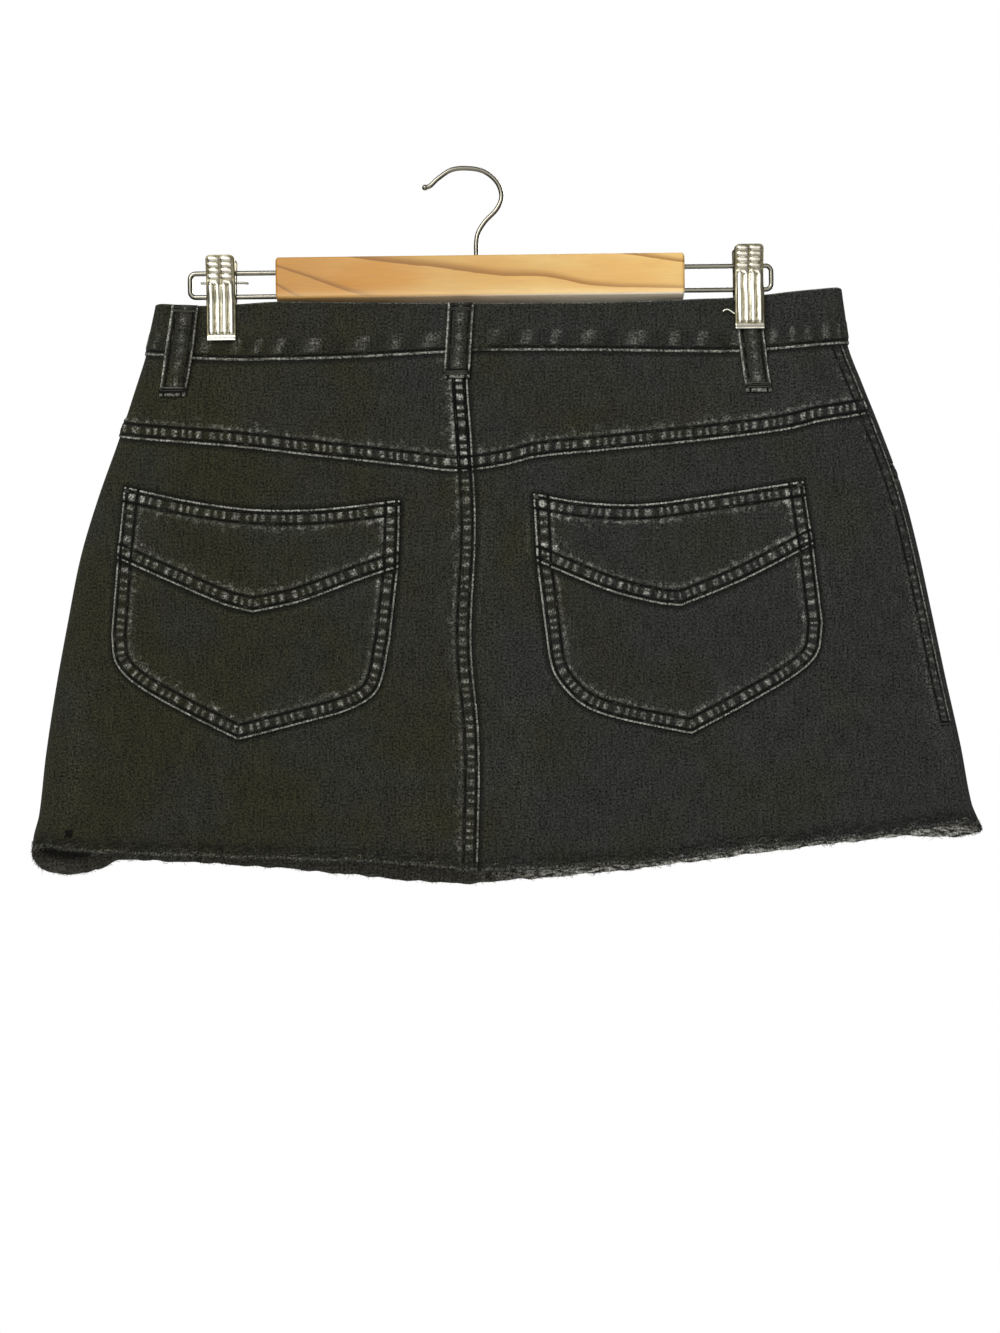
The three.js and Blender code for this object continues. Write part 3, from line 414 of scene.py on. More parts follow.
class Paint:
    # the nodes of one material, or of the world
    def __init__(self, owner):
        self.owner = owner
        self.owner.use_nodes = True
        self.tree = self.owner.node_tree
        self.shader = self.tree.nodes.get("Principled BSDF")

    def node(self, kind, settings, values, output=0):
        node = self.tree.nodes.new("ShaderNode" + kind)
        for key, value in settings.items():
            setattr(node, key, value)
        for key, value in values.items():
            self.feed(node.inputs[key], value)
        return Field(self, node.outputs[output])

    def feed(self, socket, value):
        if isinstance(value, Field):
            self.tree.links.new(value.socket, socket)
        else:
            socket.default_value = value

    def attribute(self, name, output="Vector"):
        return self.node("Attribute", {"attribute_name": name}, {}, output)

    def place(self):
        return self.node("TexCoord", {}, {}, "Object")

    def parts(self, vector):
        split = self.node("SeparateXYZ", {}, {0: vector}).socket.node
        return [Field(self, output) for output in split.outputs]

    def stretched(self, vector, scale):
        return self.node("VectorMath", {"operation": "MULTIPLY"}, {0: vector, 1: scale})

    def noise(self, vector, scale=1.0, detail=2.0, roughness=0.5):
        values = {"Vector": vector, "Scale": scale, "Detail": detail, "Roughness": roughness}
        return self.node("TexNoise", {}, values)

    def mix(self, factor, first, second):
        return self.node("Mix", {"data_type": "RGBA"}, {0: factor, 6: first, 7: second}, 2)

    def scaled(self, colour, by):
        return self.node("VectorMath", {"operation": "SCALE"}, {0: colour, "Scale": by})

    def finish(self, **values):
        # values go to the shader's sockets; bump is a height and how deep it stands, in millimetres
        bump = values.pop("bump", None)
        for key, value in values.items():
            self.feed(self.shader.inputs[key.replace("_", " ")], value)
        if bump:
            height, depth, strength = bump
            lift = {"Height": height, "Distance": depth * metresPerMm, "Strength": strength}
            self.feed(self.shader.inputs["Normal"], self.node("Bump", {}, lift))
        return self.owner


studio = {
    # how bright each part of the sky is, and between which heights of the direction it rises
    "sky": {
        "base": 0.10, "front": 1.75, "frontRise": (0.62, 0.97), "behind": 0.12,
        "behindRise": (0.5, 0.97), "above": 0.3, "aboveRise": (0.25, 0.9),
    },
    "keyWatts": 58,
    "keyPlace": (-1.0, -1.9, 1.1),
    "keySize": 1.3,
    "rimWatts": 52,
    "rimPlace": (0.8, 1.9, 0.7),
    "floorZ": -1.15,
    "floorHalf": 0.95,
    "floorColour": (0.86, 0.86, 0.85, 1),
    "lightsAimAt": (0.0, 0.0, -0.25),
    "exposure": 0.0,
}


def addLight(name, watts, place, size, target):
    data = bpy.data.lights.new(name, "AREA")
    data.energy = watts
    data.size = size
    light = bpy.data.objects.new(name, data)
    light.location = place
    aim = Matrix.Translation(target).translation - light.location
    light.rotation_euler = aim.to_track_quat("-Z", "Y").to_euler()
    bpy.context.collection.objects.link(light)


def makeSky(s):
    # white for the camera; light falls mostly from in front, above and behind, and the sides stay darker
    world = bpy.data.worlds.new("studio_world")
    world.use_nodes = True
    sky = Paint(world)
    background = world.node_tree.nodes["Background"]
    _, y, z = sky.parts(sky.node("TexCoord", {}, {}, "Generated"))
    glow = (-y).smooth(*s["frontRise"]) * s["front"] + y.smooth(*s["behindRise"]) * s["behind"]
    glow = glow + z.smooth(*s["aboveRise"]) * s["above"] + s["base"]
    seen = sky.node("LightPath", {}, {}, "Is Camera Ray")
    sky.feed(background.inputs["Strength"], glow + seen * (1.0 - glow))
    background.inputs["Color"].default_value = (1, 1, 1, 1)
    bpy.context.scene.world = world


def makeStudio(s):
    scene = bpy.context.scene
    scene.view_settings.view_transform = "Standard"
    scene.view_settings.exposure = s["exposure"]
    makeSky(s["sky"])
    addLight("key_light", s["keyWatts"], s["keyPlace"], s["keySize"], s["lightsAimAt"])
    addLight("rim_light", s["rimWatts"], s["rimPlace"], s["keySize"], s["lightsAimAt"])
    half = s["floorHalf"]
    corners = [(-half, -half), (half, -half), (half, half), (-half, half)]
    mesh = bpy.data.meshes.new("floor")
    mesh.from_pydata([(x, y, s["floorZ"]) for x, y in corners], [], [(0, 1, 2, 3)])
    floor = bpy.data.objects.new("floor", mesh)
    bpy.context.collection.objects.link(floor)
    paint = Paint(bpy.data.materials.new("floor_paint"))
    mesh.materials.append(paint.finish(Base_Color=s["floorColour"], Roughness=0.8))


makeStudio(studio)
print("light and floor")


def tone(red, green, blue):
    # a display colour from 0 to 255, made linear
    return tuple((value / 255) ** 2.2 for value in (red, green, blue)) + (1.0,)


# wear along a seam, in mm from its edge, with painted shade in its stitch grooves and between its bars:
# the folded edge, the stitch grooves, the bars between them and a ridge past them; even is how little the
# ridge is broken up, and grain how grainy the bars are
plainEdge = {
    "grooves": (), "grooveWidth": 1, "groovePaintedShade": 0, "bars": (90, 91), "barEvery": 9, "barLight": 0.0,
    "barRise": (0, 1), "slant": 0.0, "ridge": 95, "ridgeWidth": 1, "ridgeLight": 0.0, "even": 0.0,
    "grain": 0.9, "cloudLight": 0.0, "sink": 0.0, "swell": 0.0, "roll": 0.4,
}
seamStyles = {
    "double": {
        "edge": 1.0, "edgeLight": 1.0, "grooves": (2.1, 8.5), "grooveWidth": 1.1, "groovePaintedShade": 0.93,
        "bars": (2.8, 7.7), "barEvery": 5.6, "barLight": 0.68, "barRise": (-0.7, 1.15), "slant": 0.0,
        "ridge": 10.8, "ridgeWidth": 1.6, "ridgeLight": 0.46, "even": 0.45, "grain": 0.9,
        "cloudLight": 0.3, "sink": 0.42, "swell": 0.34, "roll": 0.5,
    },
    "side": {
        "edge": 1.0, "edgeLight": 0.8, "grooves": (1.9, 6.4), "grooveWidth": 0.85, "groovePaintedShade": 0.75,
        "bars": (2.5, 5.9), "barEvery": 5.2, "barLight": 0.4, "barRise": (-0.6, 1.15), "slant": 0.0,
        "ridge": 8.4, "ridgeWidth": 1.3, "ridgeLight": 0.26, "even": 0.3, "grain": 0.9,
        "cloudLight": 0.1, "sink": 0.35, "swell": 0.3, "roll": 0.45,
    },
    "waist": {
        "edge": 1.15, "edgeLight": 0.85, "grooves": (2.4,), "grooveWidth": 1.1, "groovePaintedShade": 0.88,
        "bars": (3.6, 13.0), "barEvery": 10.4, "barLight": 0.38, "barRise": (-0.1, 1.1), "slant": -0.12,
        "ridge": 20.0, "ridgeWidth": 7.0, "ridgeLight": 0.05, "even": 0.4, "grain": 0.25,
        "cloudLight": 0.0, "sink": 0.35, "swell": 0.3, "roll": 0.5,
    },
    "loop": {
        "edge": 1.0, "edgeLight": 1.0, "grooves": (2.6,), "grooveWidth": 0.95, "groovePaintedShade": 0.88,
        "bars": (90, 91), "barEvery": 9.0, "barLight": 0.0, "barRise": (0, 1), "slant": 0.0,
        "ridge": 7.75, "ridgeWidth": 2.4, "ridgeLight": 0.42, "even": 0.85, "grain": 0.9,
        "cloudLight": 0.0, "sink": 0.4, "swell": 0.0, "roll": 0.5,
    },
    "foot": plainEdge | {"edge": 1.6, "edgeLight": 2.0},
    "fold": plainEdge | {"edge": 0.9, "edgeLight": 0.5},
}


def ripple(along, every):
    # an uneven wave along a seam; the same sum of sines is written again as nodes in wearAndPaintedShadeOf
    k = 2 * np.pi / every
    return np.sin(k * along + 1.3 * np.sin(k * along / 3.7 + 1) + 0.9 * np.sin(k * along / 7.9))


def seamRelief(style, along, off, strength):
    # grooves sink as bells, the cloth between them swells with the ripple, and the edge rolls down
    height = -style["roll"] * (1 - smooth(0, 1.1, off))
    for groove in style["grooves"]:
        height = height - style["sink"] * bell(off, groove, style["grooveWidth"])
    low, high = style["bars"]
    inside = smooth(low - 0.6, low + 0.4, off) * (1 - smooth(high - 0.4, high + 0.6, off))
    wave = ripple(along + style["slant"] * off, style["barEvery"])
    height = height + style["swell"] * inside * (0.4 + 0.6 * wave)
    height = height + 0.3 * style["swell"] * bell(off, style["ridge"], style["ridgeWidth"]) * wave
    return height * strength


def wearAndPaintedShadeOf(paint, style, vector, patchy, broken, cloud):
    # how light a seam's wear makes the cloth, and how dark the painted shade in its grooves and between
    # its bars: the relief's own terms, as nodes
    along, off, strength = paint.parts(vector)
    light = off.smooth(style["edge"] + 0.4, style["edge"] - 0.3) * style["edgeLight"]
    light = light * (patchy * 0.6 + 0.55) * (broken * 0.5 + 0.65)
    dark = 0.0
    # painted shade: each stitch groove is darkened
    for groove in style["grooves"]:
        dark = off.bell(groove, style["grooveWidth"] * 0.85) * style["groovePaintedShade"] + dark
    slanted = along + off * style["slant"] if style["slant"] else along
    k = 2 * math.pi / style["barEvery"]
    wave = (slanted * (k / 3.7) + 1).sine() * 1.3 + (slanted * (k / 7.9)).sine() * 0.9
    wave = (slanted * k + wave).sine()
    uneven = patchy * (1 - style["even"]) + style["even"]
    if style["barLight"]:
        low, high = style["bars"]
        inside = off.smooth(low - 0.6, low + 1.0) * off.smooth(high + 0.6, high - 1.0)
        bars = wave.smooth(*style["barRise"]) * inside
        grain = broken * style["grain"] + (0.9 - style["grain"] / 2)
        light = light + bars * (uneven * 0.9 + 0.1) * grain * style["barLight"]
        # painted shade in the troughs between the bars
        dark = dark + inside * wave.smooth(0.3, -1.0) * 0.3
    ridge = off.bell(style["ridge"], style["ridgeWidth"]) * (wave * 0.25 + 0.7) * (broken * 0.6 + 0.6)
    light = light + ridge * uneven * style["ridgeLight"]
    if style["cloudLight"]:
        near = off.bell(13, 5) * cloud.smooth(0.42, 0.7) * patchy
        light = light + near * style["cloudLight"]
    return light * strength, dark * strength


denimLook = {
    "cool": tone(38, 39, 37), "olive": tone(37, 37, 26), "worn": tone(124, 124, 117),
    "inside": tone(50, 49, 43), "frayed": tone(160, 159, 152),
    "twillPitch": 1.0, "twillShare": 0.12, "slubShare": 0.72, "fleckShare": 0.95, "cloudShare": 0.34,
    "roughness": 0.94, "sheen": 0.04, "specular": 0.08, "bumpMm": 0.4,
    # how fine each noise is, per mm: stretched ones have a scale across and a scale up
    "slubScale": (0.85, 0.06, 1), "fleckScale": 0.8, "cloudScale": 0.09, "tintScale": 0.017,
    "patchScale": 0.13, "breakScale": 0.42, "crumpleScale": 0.24, "tangleScale": 0.7,
    "dashScale": (0.2, 0.6, 1),
    # how far the tint turns cool and the shade rises per metre to the right
    "tintAcross": 0.45, "shadeAcross": 0.4,
    # painted shadow beside overlapping edges: how wide it is, and how light the band past it
    "creaseLight": 0.10, "paintedShadowWidth": 2.3, "lightBandPastShadow": 0.07,
    "fuzzReach": (10, 4), "fuzzLight": 0.16, "cutEdgeLight": 0.24,
}


def makeDenim(name, seams, look=denimLook, paintedShadow=0.78):
    # washed black twill: mottled tint, slubs and flecks, then each seam's worn light, painted shade in
    # its grooves, painted shadow beside overlapping edges and painted shade inside the hem
    paint = Paint(bpy.data.materials.new(name))
    weave = paint.attribute("weave")
    across, up, hemOff = paint.parts(weave)
    flat = paint.node("CombineXYZ", {}, {0: across, 1: up})
    twill = ((across + up) * (2 * math.pi / look["twillPitch"])).sine()
    slub = paint.noise(paint.stretched(flat, look["slubScale"]), detail=3)
    fleck = paint.noise(flat, look["fleckScale"], 3, 0.7).smooth(0.3, 0.7)
    cloud = paint.noise(flat, look["cloudScale"], 3)
    sideways = paint.parts(paint.place())[0]
    tint = paint.noise(flat, look["tintScale"], 3) * 0.5 - sideways * look["tintAcross"] + 0.25
    patchy = paint.noise(flat, look["patchScale"], 2).smooth(0.32, 0.68)
    broken = paint.noise(flat, look["breakScale"], 2, 0.55).smooth(0.3, 0.72)
    crumple = paint.noise(flat, look["crumpleScale"], 3, 0.55)
    base = paint.mix(tint.smooth(0.38, 0.64), look["cool"], look["olive"])
    shade = twill * look["twillShare"] + (slub - 0.5) * (2 * look["slubShare"]) + 1
    shade = shade + (fleck - 0.5) * (2 * look["fleckShare"]) + (cloud - 0.5) * (2 * look["cloudShare"])
    shade = shade * (sideways * look["shadeAcross"] + 1.0)
    light = paint.attribute("crease", "Fac") * look["creaseLight"] * (fleck + 0.4)
    # keep carries the painted shade of the grooves and of the overlapping edges, and the darker tangles
    # of the frayed hem
    keep = 1
    for key, style in seams.items():
        worn, dark = wearAndPaintedShadeOf(paint, seamStyles[style], paint.attribute(key), patchy, broken, crumple)
        light = light + worn
        keep = (1 - dark).smooth(0, 1) * keep
    # painted shadow beside overlapping edges (pockets, yoke and waist seams, loop feet), and a lighter
    # band 4 mm past it
    paintedShadowOff = paint.parts(paint.attribute("paintedShadow"))[0]
    keep = (1 - paintedShadowOff.bell(0.1, look["paintedShadowWidth"]) * paintedShadow) * keep
    light = light + paintedShadowOff.bell(4.0, 1.6) * look["lightBandPastShadow"]
    tangle = paint.noise(flat, look["tangleScale"], 3, 0.7)
    dash = paint.noise(paint.stretched(flat, look["dashScale"]), detail=3)
    fuzz = hemOff.smooth(*look["fuzzReach"])
    light = light + fuzz * tangle.smooth(0.5, 0.72) * look["fuzzLight"]
    light = light + hemOff.bell(1.1, 1.2) * (broken * 0.12 + look["cutEdgeLight"])
    keep = keep * (1 - fuzz * tangle.smooth(0.56, 0.36) * 0.5)
    keep = keep * (1 - hemOff.bell(6.5, 3.2) * dash.smooth(0.42, 0.6) * 0.55)
    light = (light * keep * (fleck * 0.5 + 0.75)).smooth(0.0, 1.15)
    colour = paint.scaled(paint.mix(light, base, look["worn"]), shade * keep)
    frayed = hemOff.smooth(11, 5) * dash.smooth(0.38, 0.62) * (sideways.smooth(-0.01, 0.07) * 0.85 + 0.04)
    # painted shade: the inside of the front panel grows darker higher above its hem, where the back panel
    # hangs in front of it
    paintedHemShade = 1 - hemOff.smooth(7, 12) * 0.75
    inner = paint.scaled(paint.mix(frayed, look["inside"], look["frayed"]), shade * paintedHemShade)
    outside = paint.attribute("outside", "Fac")
    height = twill * 0.12 + slub * 0.6 + fleck * 0.9
    return paint.finish(
        Base_Color=paint.mix(outside, inner, colour),
        Roughness=slub * 0.08 + (look["roughness"] - 0.04),
        Sheen_Weight=look["sheen"],
        Sheen_Roughness=0.6,
        Specular_IOR_Level=look["specular"],
        bump=(height, look["bumpMm"], 0.55),
    )


panelDenim = makeDenim("washed_denim_panel", {"seamA": "double", "seamB": "double"})
sideDenim = makeDenim("washed_denim_side", {"seamA": "double", "seamB": "side"})
pocketDenim = makeDenim("washed_denim_pocket", {"seamA": "double", "seamB": "double", "seamC": "double"})
waistDenim = makeDenim("washed_denim_waist", {"seamA": "waist", "seamB": "fold"})
loopDenim = makeDenim("washed_denim_loop", {"seamA": "loop", "seamB": "foot"})
print("denim materials")

far = 99.0


def noSeam(x):
    return np.stack([np.zeros_like(x), np.full_like(x, far), np.zeros_like(x)], -1)


def seamValues(along, off, strength=1.0):
    along, off, strength = np.broadcast_arrays(along, np.abs(off), strength)
    return np.stack([along, off, strength], -1).astype(float)


def outlineSeam(outline, x, z):
    # for each place, the nearest point of a line of straight pieces: how far along, and how far off
    start, end = outline[:-1], outline[1:]
    step = end - start
    length = np.hypot(step[:, 0], step[:, 1])
    run = np.concatenate([[0], np.cumsum(length)[:-1]])
    place = np.stack([x.ravel(), z.ravel()], -1)
    away = place[:, None] - start
    share = np.clip((away * step).sum(-1) / np.maximum(length, 1e-9) ** 2, 0, 1)
    off = np.linalg.norm(away - share[..., None] * step, axis=-1)
    nearest = off.argmin(1)
    rows = np.arange(len(nearest))
    along = run[nearest] + share[rows, nearest] * length[nearest]
    return seamValues(along.reshape(x.shape), off[rows, nearest].reshape(x.shape))


def divided(stops):
    # the stretches between stops become steps: which stop each column follows, and its share
    steps = [count for _, count in stops[:-1]]
    index = np.repeat(np.arange(len(steps)), steps)
    share = np.concatenate([np.arange(count) / count for count in steps])
    return np.append(index, len(steps) - 1), np.append(share, 1.0)


def clothGrid(across, down):
    # places where upright lines (a turn for a height) cross level lines (a height for a turn)
    left, share = divided(across)
    upper, fall = divided(down)
    fall = fall[:, None]
    turn = np.zeros((len(upper), len(left)))
    z = np.full_like(turn, -200)
    columns = np.arange(len(left))
    rows = np.arange(len(upper))[:, None]
    for _ in range(8):
        lines = np.stack([at(z) + 0 * z for at, _ in across])
        turn = lines[left, rows, columns] * (1 - share) + lines[left + 1, rows, columns] * share
        levels = np.stack([at(turn) + 0 * turn for at, _ in down])
        z = levels[upper[:, None], rows, columns] * (1 - fall)
        z = z + levels[upper[:, None] + 1, rows, columns] * fall
    return turn, z


def arcAcross(points):
    # the length along each row, so that the weave keeps its size where the cloth turns
    step = np.linalg.norm(np.diff(points, axis=1), axis=-1)
    run = np.concatenate([np.zeros((len(points), 1)), np.cumsum(step, 1)], 1)
    half = points.shape[1] // 2
    return run - run[:, half:half + 1] + points[:, half:half + 1, 0]


def addCloth(name, turn, z, outer, inner, seams, styles, material, paintedShadow=None, hemOff=None):
    # a wall of cloth: its outer face takes the relief of its seams, its inner face stays plain
    lift = outer + sum(
        seamRelief(seamStyles[styles[key]], *np.moveaxis(seams[key], -1, 0)) for key in styles
    )
    top = skinAt(turn, z, lift)
    back = skinAt(turn, z, inner)
    blank = noSeam(z)
    weave = np.stack([arcAcross(top), z, np.full_like(z, far) if hemOff is None else hemOff], -1)
    values = {"seamA": blank, "seamB": blank, "seamC": blank} | seams
    values["weave"] = weave
    # painted shadow: how far each point lies from the edge it falls along
    values["paintedShadow"] = seamValues(np.full_like(z, far) if paintedShadow is None else paintedShadow, 0 * z)
    values = {key: twice(value) for key, value in values.items()}
    values["crease"] = twice(np.abs(creaseAt(turn, top[..., 0], z)))
    values["outside"] = np.concatenate([np.ones(z.size), np.zeros(z.size)])
    points, faces = closedShell(top, back)
    addMesh(f"{name}_denim", points, faces, material, values)
    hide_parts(name)


def raised(off, width, by=cloth["seamRaise"]):
    # a seam's band stands up by its extra layers as far as the band is wide
    return by * (1 - smooth(width - 0.4, width + 1.4, off))


def rightSideX(z):
    return rightFold(z) - cloth["sideInset"]


def leftSideX(z):
    return leftFold(z) + cloth["leftInset"]


def centreFrontX(z):
    return middle(z) + cloth["frontInset"]


def upright(place, by=0.0, side="back", wholeTurns=0):
    # an upright line of the cloth as a turn for each height
    turnOf = backTurn if side == "back" else frontTurn
    return lambda z: turnOf(place(z) + by, z) + wholeTurns


def level(line, by=0.0):
    return lambda turn: line(turn) + by


patchPockets = {
    "left": {
        "top": [(-207.5, -189.2), (-164.1, -199.1), (-126.8, -204), (-89.5, -204), (-42.8, -199.4)],
        "seam": [(-212, -232), (-177, -248.1), (-147.4, -261), (-131, -265.4), (-102.8, -259.5),
                 (-65.4, -246.3), (-44.2, -239.5)],
        "foot": [(-216, -278.1), (-213.7, -294.2), (-202.7, -306.8), (-177.9, -322), (-141, -341.2),
                 (-103.6, -332), (-72.4, -323.3), (-57.2, -312.3), (-49.8, -284)],
    },
    "right": {
        "top": [(36.7, -196.5), (67, -201.9), (101, -203.6), (136.4, -199.6), (197.8, -190.9)],
        "seam": [(38.1, -236.9), (53.8, -244), (82.7, -255.8), (110.4, -263.1), (124, -264.5),
                 (161.1, -249.8), (203, -228.8)],
        "foot": [(42.6, -276.8), (46.1, -300.2), (52.9, -312.3), (65.5, -323.7), (84.2, -331),
                 (129, -340.8), (166.5, -321.2), (191.9, -306.3), (204.7, -293.9), (208, -276)],
    },
}
pocketMake = {
    "columns": 176, "upperRows": 58, "lowerRows": 78, "lift": 0.3, "flapBand": 9.8, "flapRaise": 0.8,
    "puff": 0.6, "puffReach": 16,
}


def patchEdge(rows, pointed):
    # an edge as x and z for a share of its length; a pointed one is two curves that meet at its tip
    place = np.array(rows, float)
    run = runAlong(*place.T)
    run /= run[-1]
    tip = int(place[:, 1].argmin()) if pointed else len(rows) - 1
    first = [curveThrough(list(zip(run[:tip + 1], place[:tip + 1, k]))) for k in (0, 1)]
    if not pointed:
        return lambda share: (first[0](share), first[1](share))
    second = [curveThrough(list(zip(run[tip:], place[tip:, k]))) for k in (0, 1)]
    return lambda share: tuple(
        np.where(share < run[tip], a(share), b(share)) for a, b in zip(first, second)
    )


def patchGrid(upper, lower, columns, rows):
    # a patch between two edges: each column runs straight from a share of one to that of the other
    share = np.linspace(0, 1, columns + 1)
    fall = np.linspace(0, 1, rows + 1)[:, None]
    (x0, z0), (x1, z1) = upper(share), lower(share)
    return x0 + (x1 - x0) * fall, z0 + (z1 - z0) * fall


def lineOf(x, z):
    return np.stack([x, z], -1)


def runAlong(x, z):
    # how far along a line each of its points lies
    return np.concatenate([[0], np.cumsum(np.hypot(np.diff(x), np.diff(z)))])


pocketLines = {}


def addPocket(side, rows, p):
    # an upper piece down to its pointed seam, which laps over the lower piece
    top = patchEdge(rows["top"], False)
    seam = patchEdge(rows["seam"], True)
    lowered = patchEdge([(x, z - cloth["gap"]) for x, z in rows["seam"]], True)
    foot = patchEdge(rows["foot"], True)
    x, z = patchGrid(top, seam, p["columns"], p["upperRows"])
    topSeam = outlineSeam(lineOf(x[0], z[0]), x, z)
    pointSeam = outlineSeam(lineOf(x[-1], z[-1]), x, z)
    sides = [outlineSeam(lineOf(x[:, k], z[:, k]), x, z) for k in (0, -1)]
    sideSeam = np.where(sides[0][..., 1:2] < sides[1][..., 1:2], *sides)
    inner = p["lift"]
    puff = p["puff"] * (1 - np.exp(-np.minimum(topSeam[..., 1], sideSeam[..., 1]) / p["puffReach"]))
    outer = inner + cloth["wall"] + puff * smooth(0, 12, pointSeam[..., 1])
    outer = outer + raised(pointSeam[..., 1], p["flapBand"], p["flapRaise"])
    styles = {"seamA": "double", "seamB": "double", "seamC": "double"}
    seams = {"seamA": topSeam, "seamB": sideSeam, "seamC": pointSeam}
    addCloth(f"pocket_{side}_upper", backTurn(x, z), z, outer, inner + 0 * z, seams, styles, pocketDenim)
    outline = [lineOf(x[:, 0], z[:, 0]), lineOf(x[0], z[0]), lineOf(x[:, -1], z[:, -1])]
    threads = [("top", x[0], z[0]), ("side", x[:, 0], z[:, 0]), ("side", x[:, -1], z[:, -1]),
               ("point", x[-1], z[-1])]

    x, z = patchGrid(lowered, foot, p["columns"], p["lowerRows"])
    footLine = np.concatenate([lineOf(x[:, 0], z[:, 0]), lineOf(x[-1], z[-1])[1:],
                               lineOf(x[::-1, -1], z[::-1, -1])[1:]])
    footSeam = outlineSeam(footLine, x, z)
    under = outlineSeam(lineOf(x[0], z[0]), x, z)
    puff = p["puff"] * (1 - np.exp(-footSeam[..., 1] / p["puffReach"]))
    outer = inner + cloth["wall"] + puff * smooth(0, 12, under[..., 1])
    # the lower piece has painted shadow below the upper piece's pointed seam
    addCloth(f"pocket_{side}_lower", backTurn(x, z), z, outer, inner + 0 * z,
             {"seamB": footSeam}, {"seamB": "double"}, pocketDenim, under[..., 1])
    outline.append(footLine)
    threads.append(("foot", footLine[:, 0], footLine[:, 1]))
    pocketLines[side] = {"outline": outline, "threads": threads}


for pocketSide, pocketRows in patchPockets.items():
    addPocket(pocketSide, pocketRows, pocketMake)
print("patch pockets")

panelMake = {
    "fine": 0.9, "coarse": 2.3, "frontCoarse": 2.9, "row": 1.8, "yokeColumn": 1.15, "yokeRow": 2.4,
    "centreStrengthYoke": 1.75, "centreStrengthBack": 0.85, "sideStrength": 0.9,
    "yokeStrength": 1.0, "ragged": 0.7, "fringe": 4.0,
    # about how wide and deep the pieces are, for the count of their steps
    "yokeWide": {"left": 250, "right": 232}, "yokeDeep": 48,
    "backWide": {"left": 280, "right": 270}, "backDeep": 246,
    # how far a seam's fine columns reach
    "yokeFine": {"level": 13, "centre": 13, "side": 9}, "backFine": {"centre": 14, "side": 10},
}


def raggedHem(turn):
    # the cut edge wavers: a few sines of the place along it
    x = np.sin(turn * np.pi / 2) * 280
    waver = np.sin(x / 3.1) + 0.8 * np.sin(x / 1.9 + 2 * turn) + 0.9 * np.sin(x / 7.3 + 1)
    lifted = isBack(turn) * smooth(80, 140, x) * (1 - smooth(262, 280, x))
    return hemLine(turn) - panelMake["fringe"] * (1 - 0.92 * lifted) + panelMake["ragged"] * waver * 0.4


def steps(width, size):
    return max(1, int(round(width / size)))


def nearestOutline(lines, x, z):
    return np.min([outlineSeam(line, x, z)[..., 1] for line in lines], 0)


def backColumns(p, wide, column, reach):
    # upright lines of a left and a right piece of the back, from the left side seam to the right one
    half = cloth["seam"] / 2
    return {
        "left": [(upright(leftSideX, -cloth["seam"], "front", -4), steps(wide["left"], column)),
                 (upright(centreBackX, -reach["centre"]), steps(reach["centre"], p["fine"])),
                 (upright(centreBackX, -half), 0)],
        "right": [(upright(centreBackX, half), steps(wide["right"], column)),
                  (upright(rightSideX, -reach["side"]), steps(reach["side"], p["fine"])),
                  (upright(rightSideX, -cloth["seam"]), 0)],
    }


def addYokes(p):
    reach = p["yokeFine"]
    rows = [(level(waistSeam, -cloth["seam"]), steps(p["yokeDeep"], p["yokeRow"])),
            (level(yokeSeam, reach["level"]), steps(reach["level"], p["fine"])), (yokeSeam, 0)]
    across = backColumns(p, p["yokeWide"], p["yokeColumn"], reach)
    for side, stops in across.items():
        turn, z = clothGrid(stops, rows)
        x = skinPoint(turn, z)[..., 0]
        back = isBack(turn)
        seamA = seamValues(x, z - yokeSeam(turn), p["yokeStrength"])
        outer = raised(z - yokeSeam(turn), cloth["yokeBand"])
        # painted shadow below the waist seam
        paintedShadow = np.minimum(waistSeam(turn) - z, far)
        if side == "left":
            off = np.where(back, centreBackX(z) - x, leftSideX(z) - x)
            strength = np.where(back, p["centreStrengthYoke"], p["sideStrength"])
            seams = {"seamA": seamA, "seamB": seamValues(z, off, strength)}
            band, material, style = cloth["felledBand"], panelDenim, "double"
        else:
            off = rightSideX(z) - x
            seams = {"seamA": seamA, "seamB": seamValues(z, off, p["sideStrength"])}
            band, material, style = cloth["sideBand"], sideDenim, "side"
            # and painted shadow beside the centre back seam
            paintedShadow = np.minimum(paintedShadow, x - centreBackX(z))
        outer = np.maximum(outer, raised(off, band))
        addCloth(f"yoke_{side}", turn, z, outer, -cloth["wall"] + 0 * z, seams,
                 {"seamA": "double", "seamB": style}, material, paintedShadow)


